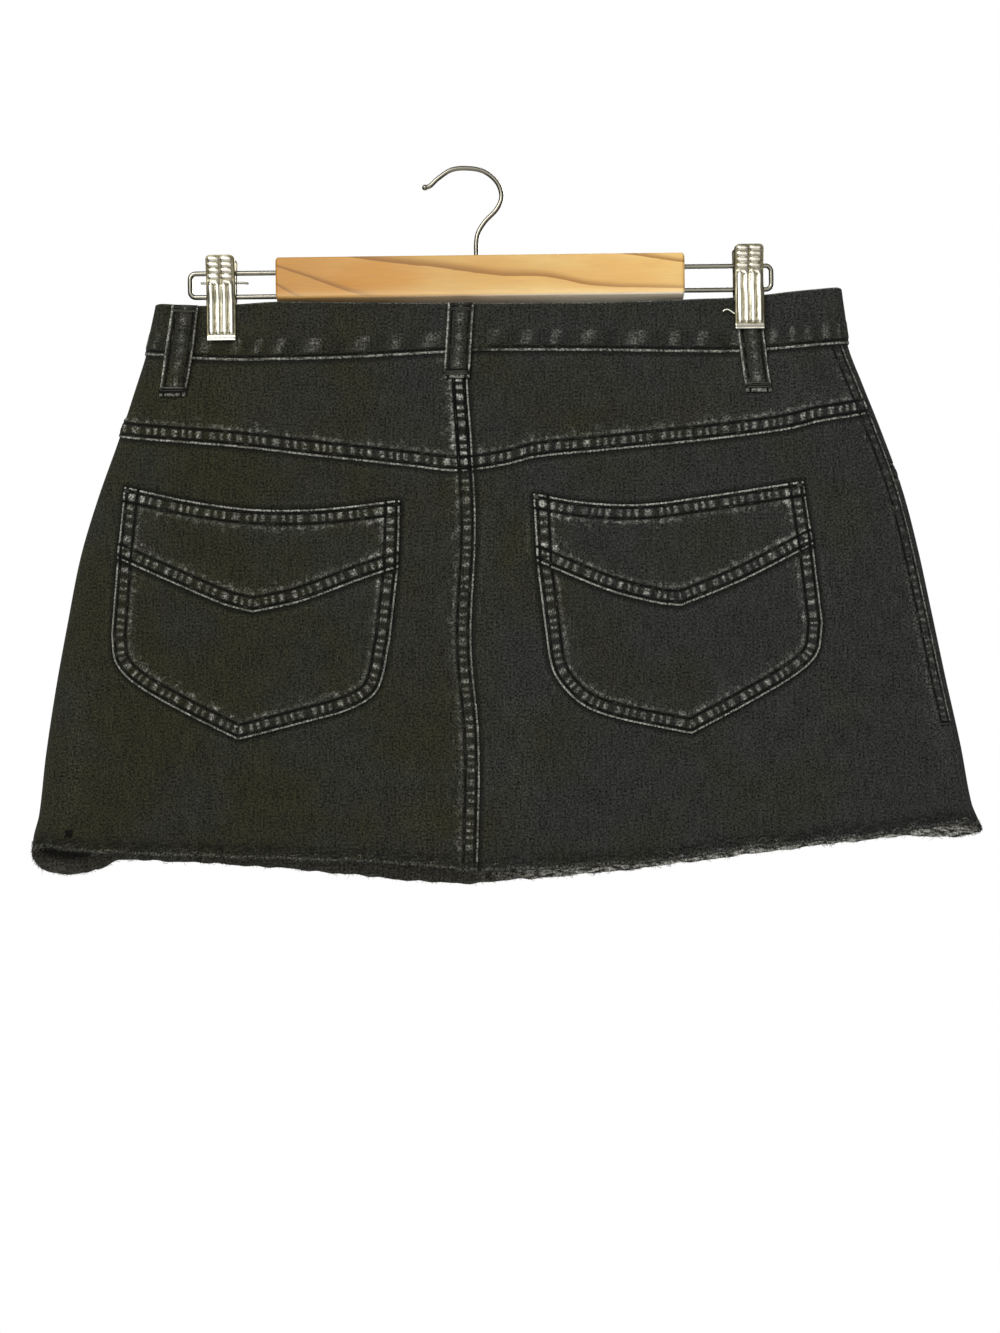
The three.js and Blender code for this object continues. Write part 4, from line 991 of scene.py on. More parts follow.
def addBacks(p):
    rows = [(level(yokeSeam, -cloth["seam"]), steps(p["backDeep"], p["row"])), (raggedHem, 0)]
    across = backColumns(p, p["backWide"], p["coarse"], p["backFine"])
    for side, stops in across.items():
        turn, z = clothGrid(stops, rows)
        x = skinPoint(turn, z)[..., 0]
        back = isBack(turn)
        # painted shadow round the pockets and below the yoke seam
        paintedShadow = np.where(back, nearestOutline(pocketLines[side]["outline"], x, z), far)
        paintedShadow = np.minimum(paintedShadow, yokeSeam(turn) - z)
        if side == "left":
            off = np.where(back, centreBackX(z) - x, leftSideX(z) - x)
            strength = np.where(back, p["centreStrengthBack"], p["sideStrength"])
            band, material, style = cloth["felledBand"], panelDenim, "double"
            outer = raised(off, band)
        else:
            off = rightSideX(z) - x
            held = smooth(cloth["topstitchEnd"] - 3, cloth["topstitchEnd"], z)
            strength = p["sideStrength"] * (0.25 + 0.75 * held)
            band, material, style = cloth["sideBand"], sideDenim, "side"
            outer = raised(off, band) * held
            # and painted shadow beside the centre back seam
            paintedShadow = np.minimum(paintedShadow, x - centreBackX(z))
        strength = strength * smooth(2.5, 6.5, z - raggedHem(turn))
        seams = {"seamB": seamValues(z, off, strength)}
        addCloth(f"back_{side}", turn, z, outer, -cloth["wall"] + 0 * z, seams, {"seamB": style},
                 material, paintedShadow, z - raggedHem(turn))


addYokes(panelMake)
addBacks(panelMake)
print("yokes and back panels")

bandMake = {"column": 1.7, "rows": [(0, 5), (0.12, 12), (0.8, 7), (1, 0)], "round": 1.1}


def addWaistband(w):
    # the band starts with its buttoned tab, which lies over its far end, and runs once round
    start = float(frontTurn(centreFrontX(-100) + w["tabOver"], -100))
    end = float(frontTurn(centreFrontX(-100) - w["tabUnder"], -100)) + 4
    fine = np.linspace(start, end, 6000)
    path = skinPoint(fine, -96 + 0 * fine)
    run = np.concatenate([[0], np.cumsum(np.linalg.norm(np.diff(path, axis=0), axis=-1))])
    turn = np.interp(np.linspace(0, run[-1], steps(run[-1], bandMake["column"])), run, fine)
    falls, shares = divided(bandMake["rows"])
    keys = np.array([key for key, _ in bandMake["rows"]])
    fall = (keys[falls] * (1 - shares) + keys[falls + 1] * shares)[:, None]
    turn = np.broadcast_to(turn, (len(fall), len(turn)))
    z = waistTop(turn) * (1 - fall) + waistSeam(turn) * fall
    tabEnd = float(frontTurn(centreFrontX(-100) - w["tabUnder"] - 3, -100))
    eased = float(frontTurn(centreFrontX(-100) - w["tabUnder"] - 3 - w["tabEase"], -100))
    lap = (w["outer"] - w["inner"] + cloth["gap"]) * (1 - smooth(tabEnd, eased, turn))
    x = skinPoint(turn, z)[..., 0]
    back = isBack(turn)
    fromTop = waistTop(turn) - z
    fromEnd = np.minimum((turn - start) / (end - start) * run[-1], far)
    rounding = 1 - np.sqrt(1 - (1 - np.clip(fromTop / bandMake["round"], 0, 1)) ** 2)
    outer = w["outer"] + lap - rounding * 1.0
    inner = w["inner"] + lap + rounding * 0.9
    strength = np.where(back, 1 - 0.85 * bell(x, 6, 7), 1)
    seams = {"seamA": seamValues(turn * 140, z - waistSeam(turn), strength),
             "seamB": seamValues(turn * 140, np.minimum(fromTop, fromEnd), 0.8)}
    addCloth("waistband", turn, z, outer, inner, seams, {"seamA": "waist", "seamB": "fold"},
             waistDenim)


addWaistband(waistband)
print("waistband")

beltLoops = {
    "belt_loop_back_centre": {"side": "back", "topX": -5.1, "footX": -8.3, "foot": -126.8, "under": 1.1},
    "belt_loop_back_left": {"side": "back", "topX": -171, "footX": -178.6, "foot": -135.4},
    "belt_loop_back_right": {"side": "back", "topX": 166.6, "footX": 172.6, "foot": -137, "swell": 0},
    "belt_loop_front_left": {"side": "front", "topX": -55, "footX": -56, "foot": -144},
    "belt_loop_front_right": {"side": "front", "topX": 122, "footX": 123, "foot": -142},
}
loopMake = {
    "width": 15.5, "wall": 1.7, "gap": 0.7, "swell": 0.6, "ease": 6, "columns": 24, "rows": 72,
    # a ridge at the foot, at the top and down the middle: its place, width and height
    "footRidge": (2.6, 1.6, 0.35), "topRidge": (2.2, 1.5, 0.3), "crown": (0, 2.6, 0.28), "roll": 0.45,
    "stitchTop": 3, "stitchFoot": 4, "bedded": 0.36,
}


def turnOn(side, x, z):
    return backTurn(x, z) if side == "back" else frontTurn(x, z)


def addLoop(name, item, m):
    # a strip over the waistband that comes down onto the cloth: its two edges are folded and stitched
    side = item["side"]
    middleX = (item["topX"] + item["footX"]) / 2
    top = float(waistTop(turnOn(side, item["topX"], -90))) - 0.4
    seam = float(waistSeam(turnOn(side, middleX, -112)))
    z = np.linspace(top, item["foot"], m["rows"])[:, None] + np.zeros(m["columns"] + 1)
    share = np.linspace(-0.5, 0.5, m["columns"] + 1)[None, :]
    over = waistband["outer"] + m["gap"]
    under = m["gap"] + item.get("under", 0)
    fall = (top - z) / (top - item["foot"])
    along = top - z
    down = smooth(0, m["ease"], seam - 0.6 - z)
    bow = np.sin(np.clip((top - z) / (top - seam), 0, 1) * np.pi) * item.get("swell", m["swell"])
    inner = over + (under - over) * down + bow
    fromFoot = z - item["foot"]
    ridges = 0
    for off, key in ((fromFoot, "footRidge"), (along, "topRidge"), (share * m["width"], "crown")):
        at, width, height = m[key]
        ridges = ridges + height * bell(off, at, width)
    rolled = m["roll"] * (1 - smooth(0, 1.0, np.minimum(fromFoot, along)))
    outer = inner + m["wall"] + ridges - rolled
    x = item["topX"] + (item["footX"] - item["topX"]) * fall
    direction = 1 if side == "back" else -1
    turn = turnOn(side, x + direction * share * m["width"], z)
    edge = m["width"] * (0.5 - np.abs(share)) + 0 * z
    seams = {"seamA": seamValues(along, edge), "seamB": seamValues(along, fromFoot)}
    styles = {"seamA": "loop", "seamB": "foot"}
    # painted shade just above the loop's folded foot
    paintedShadow = fromFoot - m["footRidge"][0] + 0 * z
    addCloth(name, turn, z, outer, inner, seams, styles, loopDenim, paintedShadow)


for loopName, loopItem in beltLoops.items():
    addLoop(loopName, loopItem, loopMake)
print("belt loops")

foldArc = cloth["sideInset"] + 4
flyMake = {"reach": 38, "straight": -182, "foot": -214, "grooves": (0.8, 7.0)}
seamStyles["fly"] = seamStyles["double"] | {
    "edgeLight": 0.0, "roll": 0.0, "grooves": flyMake["grooves"], "bars": (1.6, 6.4), "ridge": 9.6,
    "barLight": 0.5,
}
frontDenim = makeDenim("washed_denim_front", {"seamA": "double", "seamB": "double", "seamC": "fly"})


def fromSideSeam(turn, z):
    # how far a place on the front lies from its side seam, along the cloth
    x = middle(z) + halfWidth(z) * np.sin(turn * np.pi / 2)
    right = rightFold(z) - x + foldArc
    left = np.maximum(0, x - leftSideX(z))
    return np.where(isBack(turn), 0, np.where(x > centreFrontX(z), right, left))


def scoopLine(turn):
    # a hip pocket's mouth: a quarter ellipse round the corner of waist and side seam
    z = waistSeam(turn)
    reach = np.minimum(1, fromSideSeam(turn, z) / hipPocket["across"])
    return z - hipPocket["drop"] * np.sqrt(1 - reach ** 2)


def mouthX(side, inset):
    if side == "left":
        return lambda z: leftSideX(z) + hipPocket["across"] - inset
    return lambda z: rightFold(z) + foldArc - hipPocket["across"] + inset


def scoopOutline(side):
    # the same mouth as a line of x and z
    reach = np.sin(np.linspace(0, np.pi / 2, 160)) * hipPocket["across"]
    drop = hipPocket["drop"] * np.sqrt(np.maximum(0, 1 - (reach / hipPocket["across"]) ** 2))
    z = -116 - drop
    for _ in range(3):
        x = leftSideX(z) + reach if side == "left" else rightFold(z) + foldArc - reach
        z = waistSeam(frontTurn(x, z)) - drop
    return lineOf(x, z)


def addFronts(p):
    size = p["frontCoarse"]
    rows = [(level(scoopLine, -cloth["seam"]), steps(13, p["fine"])),
            (level(scoopLine, -13), steps(240, size)), (raggedHem, 0)]
    across = {
        "right": [(upright(rightSideX, cloth["seam"]), 8), (upright(rightFold, -14, "front"), 24),
                  (upright(mouthX("right", 12), 0, "front"), 16),
                  (upright(mouthX("right", -1), 0, "front"), steps(140, size)),
                  (upright(centreFrontX, cloth["seam"] / 2, "front"), 0)],
        "left": [(upright(centreFrontX, -cloth["seam"] / 2, "front"), 14),
                 (upright(centreFrontX, -13, "front"), steps(110, 1.6)),
                 (upright(mouthX("left", -1), 0, "front"), 16),
                 (upright(mouthX("left", 12), 0, "front"), 34),
                 (upright(leftSideX, cloth["seam"], "front"), 0)],
    }
    for side, stops in across.items():
        turn, z = clothGrid(stops, rows)
        x = skinPoint(turn, z)[..., 0]
        scoop = outlineSeam(scoopOutline(side), x, z)
        below = scoopLine(turn) - z
        scoop[..., 1] = np.where(isBack(turn), below, np.minimum(scoop[..., 1], below))
        seams, styles, outer = {"seamA": scoop}, {"seamA": "double"}, 0 * z
        if side == "left":
            off = centreFrontX(z) - x
            outer = raised(off, cloth["frontBand"])
            curve = np.sqrt(np.clip(1 - (np.minimum(z - flyMake["straight"], 0)
                                         / (flyMake["straight"] - flyMake["foot"])) ** 2, 0, 1))
            inside = flyMake["reach"] * curve - off
            seams["seamB"] = seamValues(z, off, 0.9)
            seams["seamC"] = seamValues(z, np.where(inside > 0, inside, far), 0.9)
            styles |= {"seamB": "double", "seamC": "fly"}
        addCloth(f"front_{side}", turn, z, outer, -cloth["wall"] + 0 * z, seams, styles, frontDenim,
                 None, z - raggedHem(turn))


def addFacings(p):
    size = 2.2
    rows = [(level(waistSeam, -cloth["seam"]), 26), (scoopLine, 0)]
    across = {
        "right": [(upright(rightSideX, cloth["seam"]), 8), (upright(rightFold, -14, "front"), 30),
                  (upright(mouthX("right", 3), 0, "front"), 3),
                  (upright(mouthX("right", 1.5), 0, "front"), 0)],
        "left": [(upright(mouthX("left", 1.5), 0, "front"), 3),
                 (upright(mouthX("left", 3), 0, "front"), steps(92, size)),
                 (upright(leftSideX, cloth["seam"], "front"), 0)],
    }
    for side, stops in across.items():
        turn, z = clothGrid(stops, rows)
        # painted shadow below the waist seam
        addCloth(f"hip_pocket_facing_{side}", turn, z, 0 * z, -cloth["wall"] + 0 * z, {}, {},
                 frontDenim, waistSeam(turn) - z)


addFronts(panelMake)
addFacings(panelMake)
print("fronts and facings")

threadMake = {
    "pitch": 3.1, "share": 0.84, "radius": 0.36, "sink": 0.35, "lift": 0.16, "sides": 4, "knots": 5,
    "bedded": 0.34,       # how far under the cloth's plain face a row of stitches runs
    "tackRadius": 0.33,
    "stitchShade": (0.1, 0.16), "tackShade": (0.22, 0.25),     # middle and spread
}
threadLook = {"dark": tone(13, 13, 11), "light": tone(80, 79, 72), "roughness": 0.8}


def makeThread(name, look):
    # each thread has its own shade, with a fine twist in its colour
    paint = Paint(bpy.data.materials.new(name))
    shade = paint.attribute("shade", "Fac")
    twist = paint.noise(paint.place(), 1800, 1)
    mixed = paint.mix((shade + (twist - 0.5) * 0.4).smooth(0, 1), look["dark"], look["light"])
    return paint.finish(
        Base_Color=mixed, Roughness=look["roughness"], Specular_IOR_Level=0.12,
        bump=(twist, 0.12, 0.5),
    )


sewingThread = makeThread("black_sewing_thread", threadLook)


def alongLine(x, z, pitch):
    # a line of x and z as stitches: the start and end of each along it, and how to read the line
    run = runAlong(x, z)
    count = max(1, int(run[-1] / pitch))
    start = (np.arange(count) + 0.5 * (1 - threadMake["share"])) * run[-1] / count
    return run, start, run[-1] / count * threadMake["share"]


def stitchPaths(x, z, out, side, t):
    # each stitch dips into the cloth at its ends and arches over it between them
    run, start, length = alongLine(np.asarray(x, float), np.asarray(z, float), t["pitch"])
    share = np.linspace(0, 1, t["knots"])
    at = start[:, None] + share * length
    px, pz = np.interp(at, run, x), np.interp(at, run, z)
    arch = t["lift"] - t["sink"] * (2 * share - 1) ** 6
    lifted = np.interp(at, run, np.broadcast_to(out, np.shape(x)))
    return skinAt(turnOn(side, px, pz), pz, lifted + arch)


def insetLine(x, z, off, towards):
    # a line moved over by a distance towards a place, without the loops its corners would make
    x, z = np.asarray(x, float), np.asarray(z, float)
    run = runAlong(x, z)
    even = np.linspace(0, run[-1], steps(run[-1], 0.8))
    x, z = np.interp(even, run, x), np.interp(even, run, z)
    dx, dz = np.gradient(x), np.gradient(z)
    size = np.hypot(dx, dz)
    nx, nz = -dz / size, dx / size
    k = len(x) // 2
    sign = np.sign((towards[0] - x[k]) * nx[k] + (towards[1] - z[k]) * nz[k])
    px, pz = x + sign * off * nx, z + sign * off * nz
    clear = outlineSeam(lineOf(x, z), px, pz)[..., 1] > 0.97 * off
    return px[clear], pz[clear]


seamRuns = {
    "yoke": ((-210, -2.5), (2.5, 239)),        # x of the left and the right half
    "centre": (-114, -412), "front": (-126, -414), "sideTop": -112, "flyTop": -124,
    "waist": {"back": (-180, 214), "front": (-170, 200)},
    # the middles that the inner rows of pockets and scoops lie towards
    "pocketMiddle": {"left": (-128, -240), "right": (122, -238)}, "pocketFootMiddle": -290,
    "scoopMiddle": -300,
}


def seamRows(r):
    # every row of stitches: its line, how far out it lies, and its side
    rows = []
    double = seamStyles["double"]["grooves"]
    single = seamStyles["side"]["grooves"]
    plain = -threadMake["bedded"]
    base = cloth["seamRaise"] + plain
    pocketBase = pocketMake["lift"] + cloth["wall"] + 0.1 + plain
    for off in double:
        for x0, x1 in r["yoke"]:
            x = np.arange(x0, x1, 1.0)
            z = yokeSeam(backTurn(x, -165 + 0 * x)) + off
            rows.append((x, z, base, "back"))
        z = np.arange(*r["centre"], -1.0)
        rows.append((centreBackX(z) - off, z, base, "back"))
        rows.append((leftSideX(z) - off, z, base, "front"))
        z = np.arange(*r["front"], -1.0)
        rows.append((centreFrontX(z) - off, z, base, "front"))
        for side in ("left", "right"):
            low = r["scoopMiddle"]
            x, z = insetLine(*scoopOutline(side).T, off, (middle(low), low))
            rows.append((x, z, plain, "front"))
    for off in single:
        z = np.arange(r["sideTop"], cloth["topstitchEnd"], -1.0)
        rows.append((rightSideX(z) - off, z, base, "back"))
    for side, lines in pocketLines.items():
        heart = r["pocketMiddle"][side]
        for off in double:
            for kind, x, z in lines["threads"]:
                flap = pocketMake["flapRaise"] if kind == "point" else 0
                towards = (heart[0], r["pocketFootMiddle"]) if kind == "foot" else heart
                x, z = insetLine(x, z, off, towards)
                rows.append((x, z, pocketBase + flap, "back"))
    for side, (x0, x1) in r["waist"].items():
        x = np.arange(x0, x1, 1.0)
        z = waistSeam(turnOn(side, x, -112 + 0 * x)) + seamStyles["waist"]["grooves"][0]
        rows.append((x, z, waistband["outer"] + plain, side))
    down = np.linspace(0, 1, 40)
    for off in flyMake["grooves"]:
        reach = flyMake["reach"] - off
        fall = flyMake["foot"] + off - flyMake["straight"]
        z = np.concatenate([np.linspace(r["flyTop"], flyMake["straight"], 50),
                            flyMake["straight"] + fall * np.sin(down * np.pi / 2)])
        bend = np.concatenate([np.ones(50), np.cos(down * np.pi / 2)])
        rows.append((centreFrontX(z) - reach * bend, z, plain, "front"))
    return rows


def loopRows():
    # two rows down each belt loop, on its bowed outer face
    rows = []
    for item in beltLoops.values():
        side = item["side"]
        direction = 1 if side == "back" else -1
        seam = float(waistSeam(turnOn(side, item["footX"], -112)))
        top = float(waistTop(turnOn(side, item["topX"], -90))) - loopMake["stitchTop"]
        z = np.arange(top, item["foot"] + loopMake["stitchFoot"], -1.0)
        x = item["topX"] + (item["footX"] - item["topX"]) * (top - z) / (top - item["foot"])
        over = waistband["outer"] + loopMake["gap"]
        under = loopMake["gap"] + item.get("under", 0)
        start = top + loopMake["stitchTop"]
        bow = np.sin(np.clip((start - z) / (start - seam), 0, 1) * np.pi)
        inner = over + (under - over) * smooth(0, loopMake["ease"], seam - 0.6 - z)
        out = inner + bow * item.get("swell", loopMake["swell"]) + loopMake["wall"] - loopMake["bedded"]
        for off in (-1, 1):
            shift = off * (loopMake["width"] / 2 - seamStyles["loop"]["grooves"][0])
            rows.append((x + direction * shift, z, out, side))
    return rows


tackMake = {"threads": 15, "loopWidth": 13.6, "height": 2.6, "lift": 0.3}


def tackPaths(x, z, out, width, height, side, rng):
    # a bar tack: threads laid close across a short bar, each a little askew
    count = tackMake["threads"]
    share = np.linspace(-0.5, 0.5, 7)
    row = (np.arange(count) % 4)[:, None] / 3 - 0.5 + rng.uniform(-0.12, 0.12, (count, 1))
    slip = rng.uniform(-0.06, 0.06, (count, 1))
    reach = rng.uniform(0.86, 1.06, (count, 1))
    px = x + (share * reach + slip) * width
    pz = z + row * height + share * rng.uniform(-0.5, 0.5, (count, 1))
    arch = tackMake["lift"] * (1 - (2 * share) ** 4) - 0.3 + rng.uniform(0, 0.35, (count, 1))
    return skinAt(turnOn(side, px, pz), pz, out + arch)


def addThreads():
    # all stitches become one mesh, and all bar tacks another; each thread has its own shade
    rng = np.random.default_rng(seed)
    rows = seamRows(seamRuns) + loopRows()
    paths = np.concatenate([stitchPaths(x, z, out, side, threadMake) for x, z, out, side in rows])
    points, faces, size = tubes(paths, threadMake["radius"], (0, 1, 0), threadMake["sides"])
    shade = np.repeat(np.clip(rng.normal(*threadMake["stitchShade"], len(paths)), 0, 1), size)
    addMesh("seam_stitches", points, faces, sewingThread, {"shade": shade})
    tacks = []
    for item in beltLoops.values():
        side = item["side"]
        under = loopMake["gap"] + item.get("under", 0) + loopMake["wall"]
        over = waistband["outer"] + loopMake["gap"] + loopMake["wall"]
        top = float(waistTop(turnOn(side, item["topX"], -90)))
        width = tackMake["loopWidth"]
        tacks.append(tackPaths(item["footX"], item["foot"] + 3.4, under + 0.2, width, 2.4, side, rng))
        tacks.append(tackPaths(item["topX"], top - 3.2, over + 0.2, width, 2.6, side, rng))
    edge = float(rightSideX(-335.0))
    tacks.append(tackPaths(edge - 4, cloth["topstitchEnd"] - 1, 0.9, 6.5, 1.6, "back", rng))
    for rows in patchPockets.values():
        top = patchEdge(rows["top"], False)
        for at in (0.012, 0.985):
            x, z = (float(value) for value in top(np.array(at)))
            tacks.append(tackPaths(x, z - 2.2, 1.5, 3.4, 1.4, "back", rng))
    paths = np.concatenate(tacks)
    points, faces, size = tubes(paths, threadMake["tackRadius"], (0, 1, 0), threadMake["sides"])
    shade = np.repeat(np.clip(rng.normal(*threadMake["tackShade"], len(paths)), 0, 1), size)
    addMesh("bar_tacks", points, faces, sewingThread, {"shade": shade})


addThreads()
print("stitches and bar tacks")

frayMake = {
    "backHairs": 1500, "frontHairs": 1200, "wefts": 620, "root": 3.2, "radius": 0.13,
    "shortest": 0.1, "typical": 0.4, "longest": 3.2, "lean": 2.6, "knots": 5, "sides": 3,
    "hairBend": 0.9, "hairLift": (0.2, 0.9), "weftKnots": 9, "weftFrom": (-0.2, 5.5),
    "weftLong": (1.5, 5.5), "weftBend": 0.9, "weftSlope": 1.3,
    "hairShade": 0.12, "weftShade": 0.02, "shadeSpread": 0.3,
}
frayLook = {"dark": tone(24, 24, 22), "light": tone(134, 132, 124), "roughness": 0.85}
frayedCotton = makeThread("frayed_cotton", frayLook)


def frameAlong(turn, z, out):
    # a place on the cloth with its direction along the hem and its normal
    point = skinAt(turn, z, out)
    tangent = alongSkin(turn, z)
    tangent /= np.linalg.norm(tangent, axis=-1, keepdims=True)
    return point, tangent, skinNormal(turn, z)


def hairPaths(turns, f, rng):
    # loose warp threads: each hangs from the cut edge, leans, and bends a little on its way down
    count = len(turns)
    out = -rng.uniform(0.1, 1.0, count)
    point, tangent, normal = frameAlong(turns, raggedHem(turns) + f["root"], out)
    length = np.clip(f["shortest"] + rng.exponential(f["typical"], count), 0, f["longest"])
    lean = rng.normal(0, f["lean"], count) * np.sqrt(length / 5)
    bend = rng.normal(0, f["hairBend"], count)
    lift = rng.normal(*f["hairLift"], count)
    t = np.linspace(0, 1, f["knots"])[None, :, None]
    side = (lean[:, None] * t[..., 0] ** 1.5 + bend[:, None] * np.sin(t[..., 0] * np.pi))[..., None]
    down = (length + f["root"])[:, None, None] * t * np.array([0, 0, -1.0])
    return point[:, None] + tangent[:, None] * side + normal[:, None] * lift[:, None, None] * t**2 + down


def weftPaths(turns, f, rng):
    # loose weft threads: short wandering lines that lie along the edge and sag from it
    count = len(turns)
    z = raggedHem(turns) + rng.uniform(*f["weftFrom"], count)
    out = rng.uniform(-0.3, 0.35, count)
    point, tangent, normal = frameAlong(turns, z, out)
    t = np.linspace(-0.5, 0.5, f["weftKnots"])
    length = rng.uniform(*f["weftLong"], count)[:, None, None]
    wave = rng.normal(0, f["weftBend"], (count, 1)) * np.cos(t * np.pi)
    wave = wave + rng.normal(0, f["weftSlope"], (count, 1)) * t
    wave = wave + 0.3 * np.sin(t * 12 + rng.uniform(0, 6, (count, 1)))
    rise = wave[..., None] * np.array([0, 0, 1.0])
    wander = 0.2 * np.sin(t * 15 + rng.uniform(0, 6, (count, 1)))[..., None]
    return point[:, None] + tangent[:, None] * length * t[None, :, None] + rise + normal[:, None] * wander


def addFray(name, first, last, hairs, f, rng):
    # hairs and wefts between two turns, joined into one mesh
    turns = rng.uniform(first, last, hairs)
    parts, shades = [], []
    for paths, radius, bright in (
        (hairPaths(turns, f, rng), f["radius"], f["hairShade"]),
        (weftPaths(rng.uniform(first, last, f["wefts"]), f, rng), f["radius"] * 1.1, f["weftShade"]),
    ):
        thin = np.linspace(1.15, 0.5, paths.shape[1])
        points, faces, size = tubes(paths, radius * thin, (0.1, 1, 0.05), f["sides"])
        parts.append((points, faces))
        shades.append(np.repeat(np.clip(rng.normal(bright, f["shadeSpread"], len(paths)), 0, 1), size))
    points, faces = joinedSets(parts)
    addMesh(f"{name}_threads", points, faces, frayedCotton,
                          {"shade": np.concatenate(shades)})
    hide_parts(name)


knotMake = {"x": -243, "z": -396, "radius": 0.34, "turns": 3, "wide": 2.6, "tall": 1.9, "out": 0.5}


def addKnot(k):
    # a thread wound into a small tangle: its turns swing sideways and up at rates that don't meet
    t = np.linspace(0, 1, 90) * 2 * np.pi * k["turns"]
    x = k["x"] + k["wide"] * np.cos(t * 0.86) * (0.7 + 0.3 * np.sin(t * 0.37))
    z = k["z"] + k["tall"] * np.sin(t * 1.13 + 0.4)
    path = skinAt(backTurn(x, z), z, k["out"] + 0.3 * np.sin(t * 1.7))
    points, faces, _ = tubes(path[None], k["radius"], (0.1, 1, 0.05), 6)
    addMesh("thread_knot", points, faces, sewingThread, {"shade": np.zeros(len(points))})


addKnot(knotMake)
frayRandom = np.random.default_rng(seed + 1)
addFray("fray_back", -0.985, 0.985, frayMake["backHairs"], frayMake, frayRandom)
addFray("fray_front", 1.015, 2.985, frayMake["frontHairs"], frayMake, frayRandom)
print("frayed hem")

zipMake = {"start": 3, "drop": 92, "tapeHalf": 11, "tapeWall": 1.0, "tooth": 1.5, "toothReach": 2.4}
buttonMake = {
    "z": -105, "sides": 40,
    "profile": [(0.0, 4.6), (0.3, 5.1), (1.1, 5.0), (1.3, 7.6), (1.55, 8.35), (1.9, 8.5), (2.3, 8.4),
                (2.65, 8.0), (2.9, 7.3), (2.95, 6.7), (3.0, 6.3), (3.2, 5.9), (3.32, 4.6), (3.38, 2.8),
                (3.4, 1.0)],
}


def addZip(m):
    # the tape lies behind the closed fly, and its teeth stand towards the inside in two rows
    behind = -cloth["wall"] - cloth["gap"]
    by = np.linspace(m["tapeHalf"], -m["tapeHalf"], 29)[None, :]
    drop = np.linspace(m["start"], m["drop"], 70)[:, None]
    z0 = float(waistSeam(frontTurn(centreFrontX(-122.0), -122.0)))
    z = z0 - drop + 0 * by
    x = centreFrontX(z) + by
    weave = 0.04 * np.sin(by * 4) + 0 * z
    outer = skinAt(frontTurn(x, z), z, behind + weave)
    inner = skinAt(frontTurn(x, z), z, behind - m["tapeWall"] - weave)
    points, faces = closedShell(outer, inner)
    piece = addMesh("zip_tape", points, faces, zipTape)
    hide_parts("zip")
    count = int((m["drop"] - m["start"]) / m["tooth"])
    z = (z0 - m["start"] - (np.arange(2 * count) + 1) * m["tooth"] / 2)[:, None] + np.zeros(4)
    sign = np.where(np.arange(2 * count) % 2, 1.0, -1.0)[:, None]
    across = np.linspace(-0.35, 1, 4) * m["toothReach"] * sign
    x = centreFrontX(z) + across
    paths = skinAt(frontTurn(x, z), z, behind - m["tapeWall"] - 0.45)
    points, faces, _ = tubes(paths, np.array([0.62, 0.42, 0.5, 0.6]), (0, 1, 0.1), 6)
    addMesh("zip_teeth", points, faces, buttonMetal)


def addButton(m):
    # a turned profile stands on the waistband's tab, along the cloth's own normal
    lap = waistband["outer"] - waistband["inner"] + cloth["gap"]
    turn = frontTurn(centreFrontX(float(m["z"])), m["z"])
    foot = skinAt(turn, m["z"], waistband["outer"] + lap + cloth["gap"])
    normal = skinNormal(turn, np.float64(m["z"]))
    height, radius = np.array(m["profile"]).T
    path = foot + height[:, None] * normal
    points, faces, _ = tubes(path[None], radius[None], (0, 0, 1), m["sides"])
    piece = addMesh("waist_button_face", points, faces, buttonMetal)
    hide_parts("waist_button")


metalLook = {
    "plate": tone(222, 218, 202), "plateHollow": tone(98, 92, 68),
    "wire": tone(118, 115, 104), "wireDull": tone(62, 58, 48),
    "button": tone(150, 146, 134), "buttonDull": tone(84, 80, 66),
    "plateStreak": (900, 900, 160), "wireStreak": (160, 300, 300), "buttonStreak": (900, 200, 900),
    "blotchScale": 220,
}


def makeMetal(name, light, dark, roughness, streak):
    # plated wire and sheet: thin scratches, and a duller tone in blotches and hollows
    paint = Paint(bpy.data.materials.new(name))
    place = paint.place()
    scratch = paint.noise(paint.stretched(place, streak), detail=3, roughness=0.6)
    blotch = paint.noise(place, metalLook["blotchScale"], 3)
    hollow = paint.attribute("hollow", "Fac")
    dull = (blotch.smooth(0.45, 0.75) * 0.35 + hollow).smooth(0, 1)
    return paint.finish(
        Base_Color=paint.mix(dull, light, dark),
        Metallic=1.0 - dull * 0.15,
        Roughness=scratch * 0.16 + dull * 0.16 + (roughness - 0.06),
        bump=(scratch, 0.05, 0.25),
    )


nickel = makeMetal("nickel_plate", metalLook["plate"], metalLook["plateHollow"], 0.22,
                   metalLook["plateStreak"])
wireNickel = makeMetal("nickel_wire", metalLook["wire"], metalLook["wireDull"], 0.2,
                       metalLook["wireStreak"])
buttonMetal = makeMetal("aged_button_metal", metalLook["button"], metalLook["buttonDull"], 0.34,
                        metalLook["buttonStreak"])


tapeLook = {"dark": tone(24, 24, 24), "light": tone(38, 38, 38), "ribScale": 9000, "grainScale": 900}


def makeZipTape(look):
    # ribs across the tape, as a sine of the height, and a fine grain
    paint = Paint(bpy.data.materials.new("black_zip_tape"))
    place = paint.place()
    rib = (paint.parts(place)[2] * look["ribScale"]).sine()
    grain = paint.noise(place, look["grainScale"], 2)
    return paint.finish(
        Base_Color=paint.mix(grain, look["dark"], look["light"]), Roughness=grain * 0.1 + 0.75,
        bump=(rib * 0.5 + grain, 0.1, 0.5),
    )


zipTape = makeZipTape(tapeLook)
addZip(zipMake)
addButton(buttonMake)
print("zip and button")

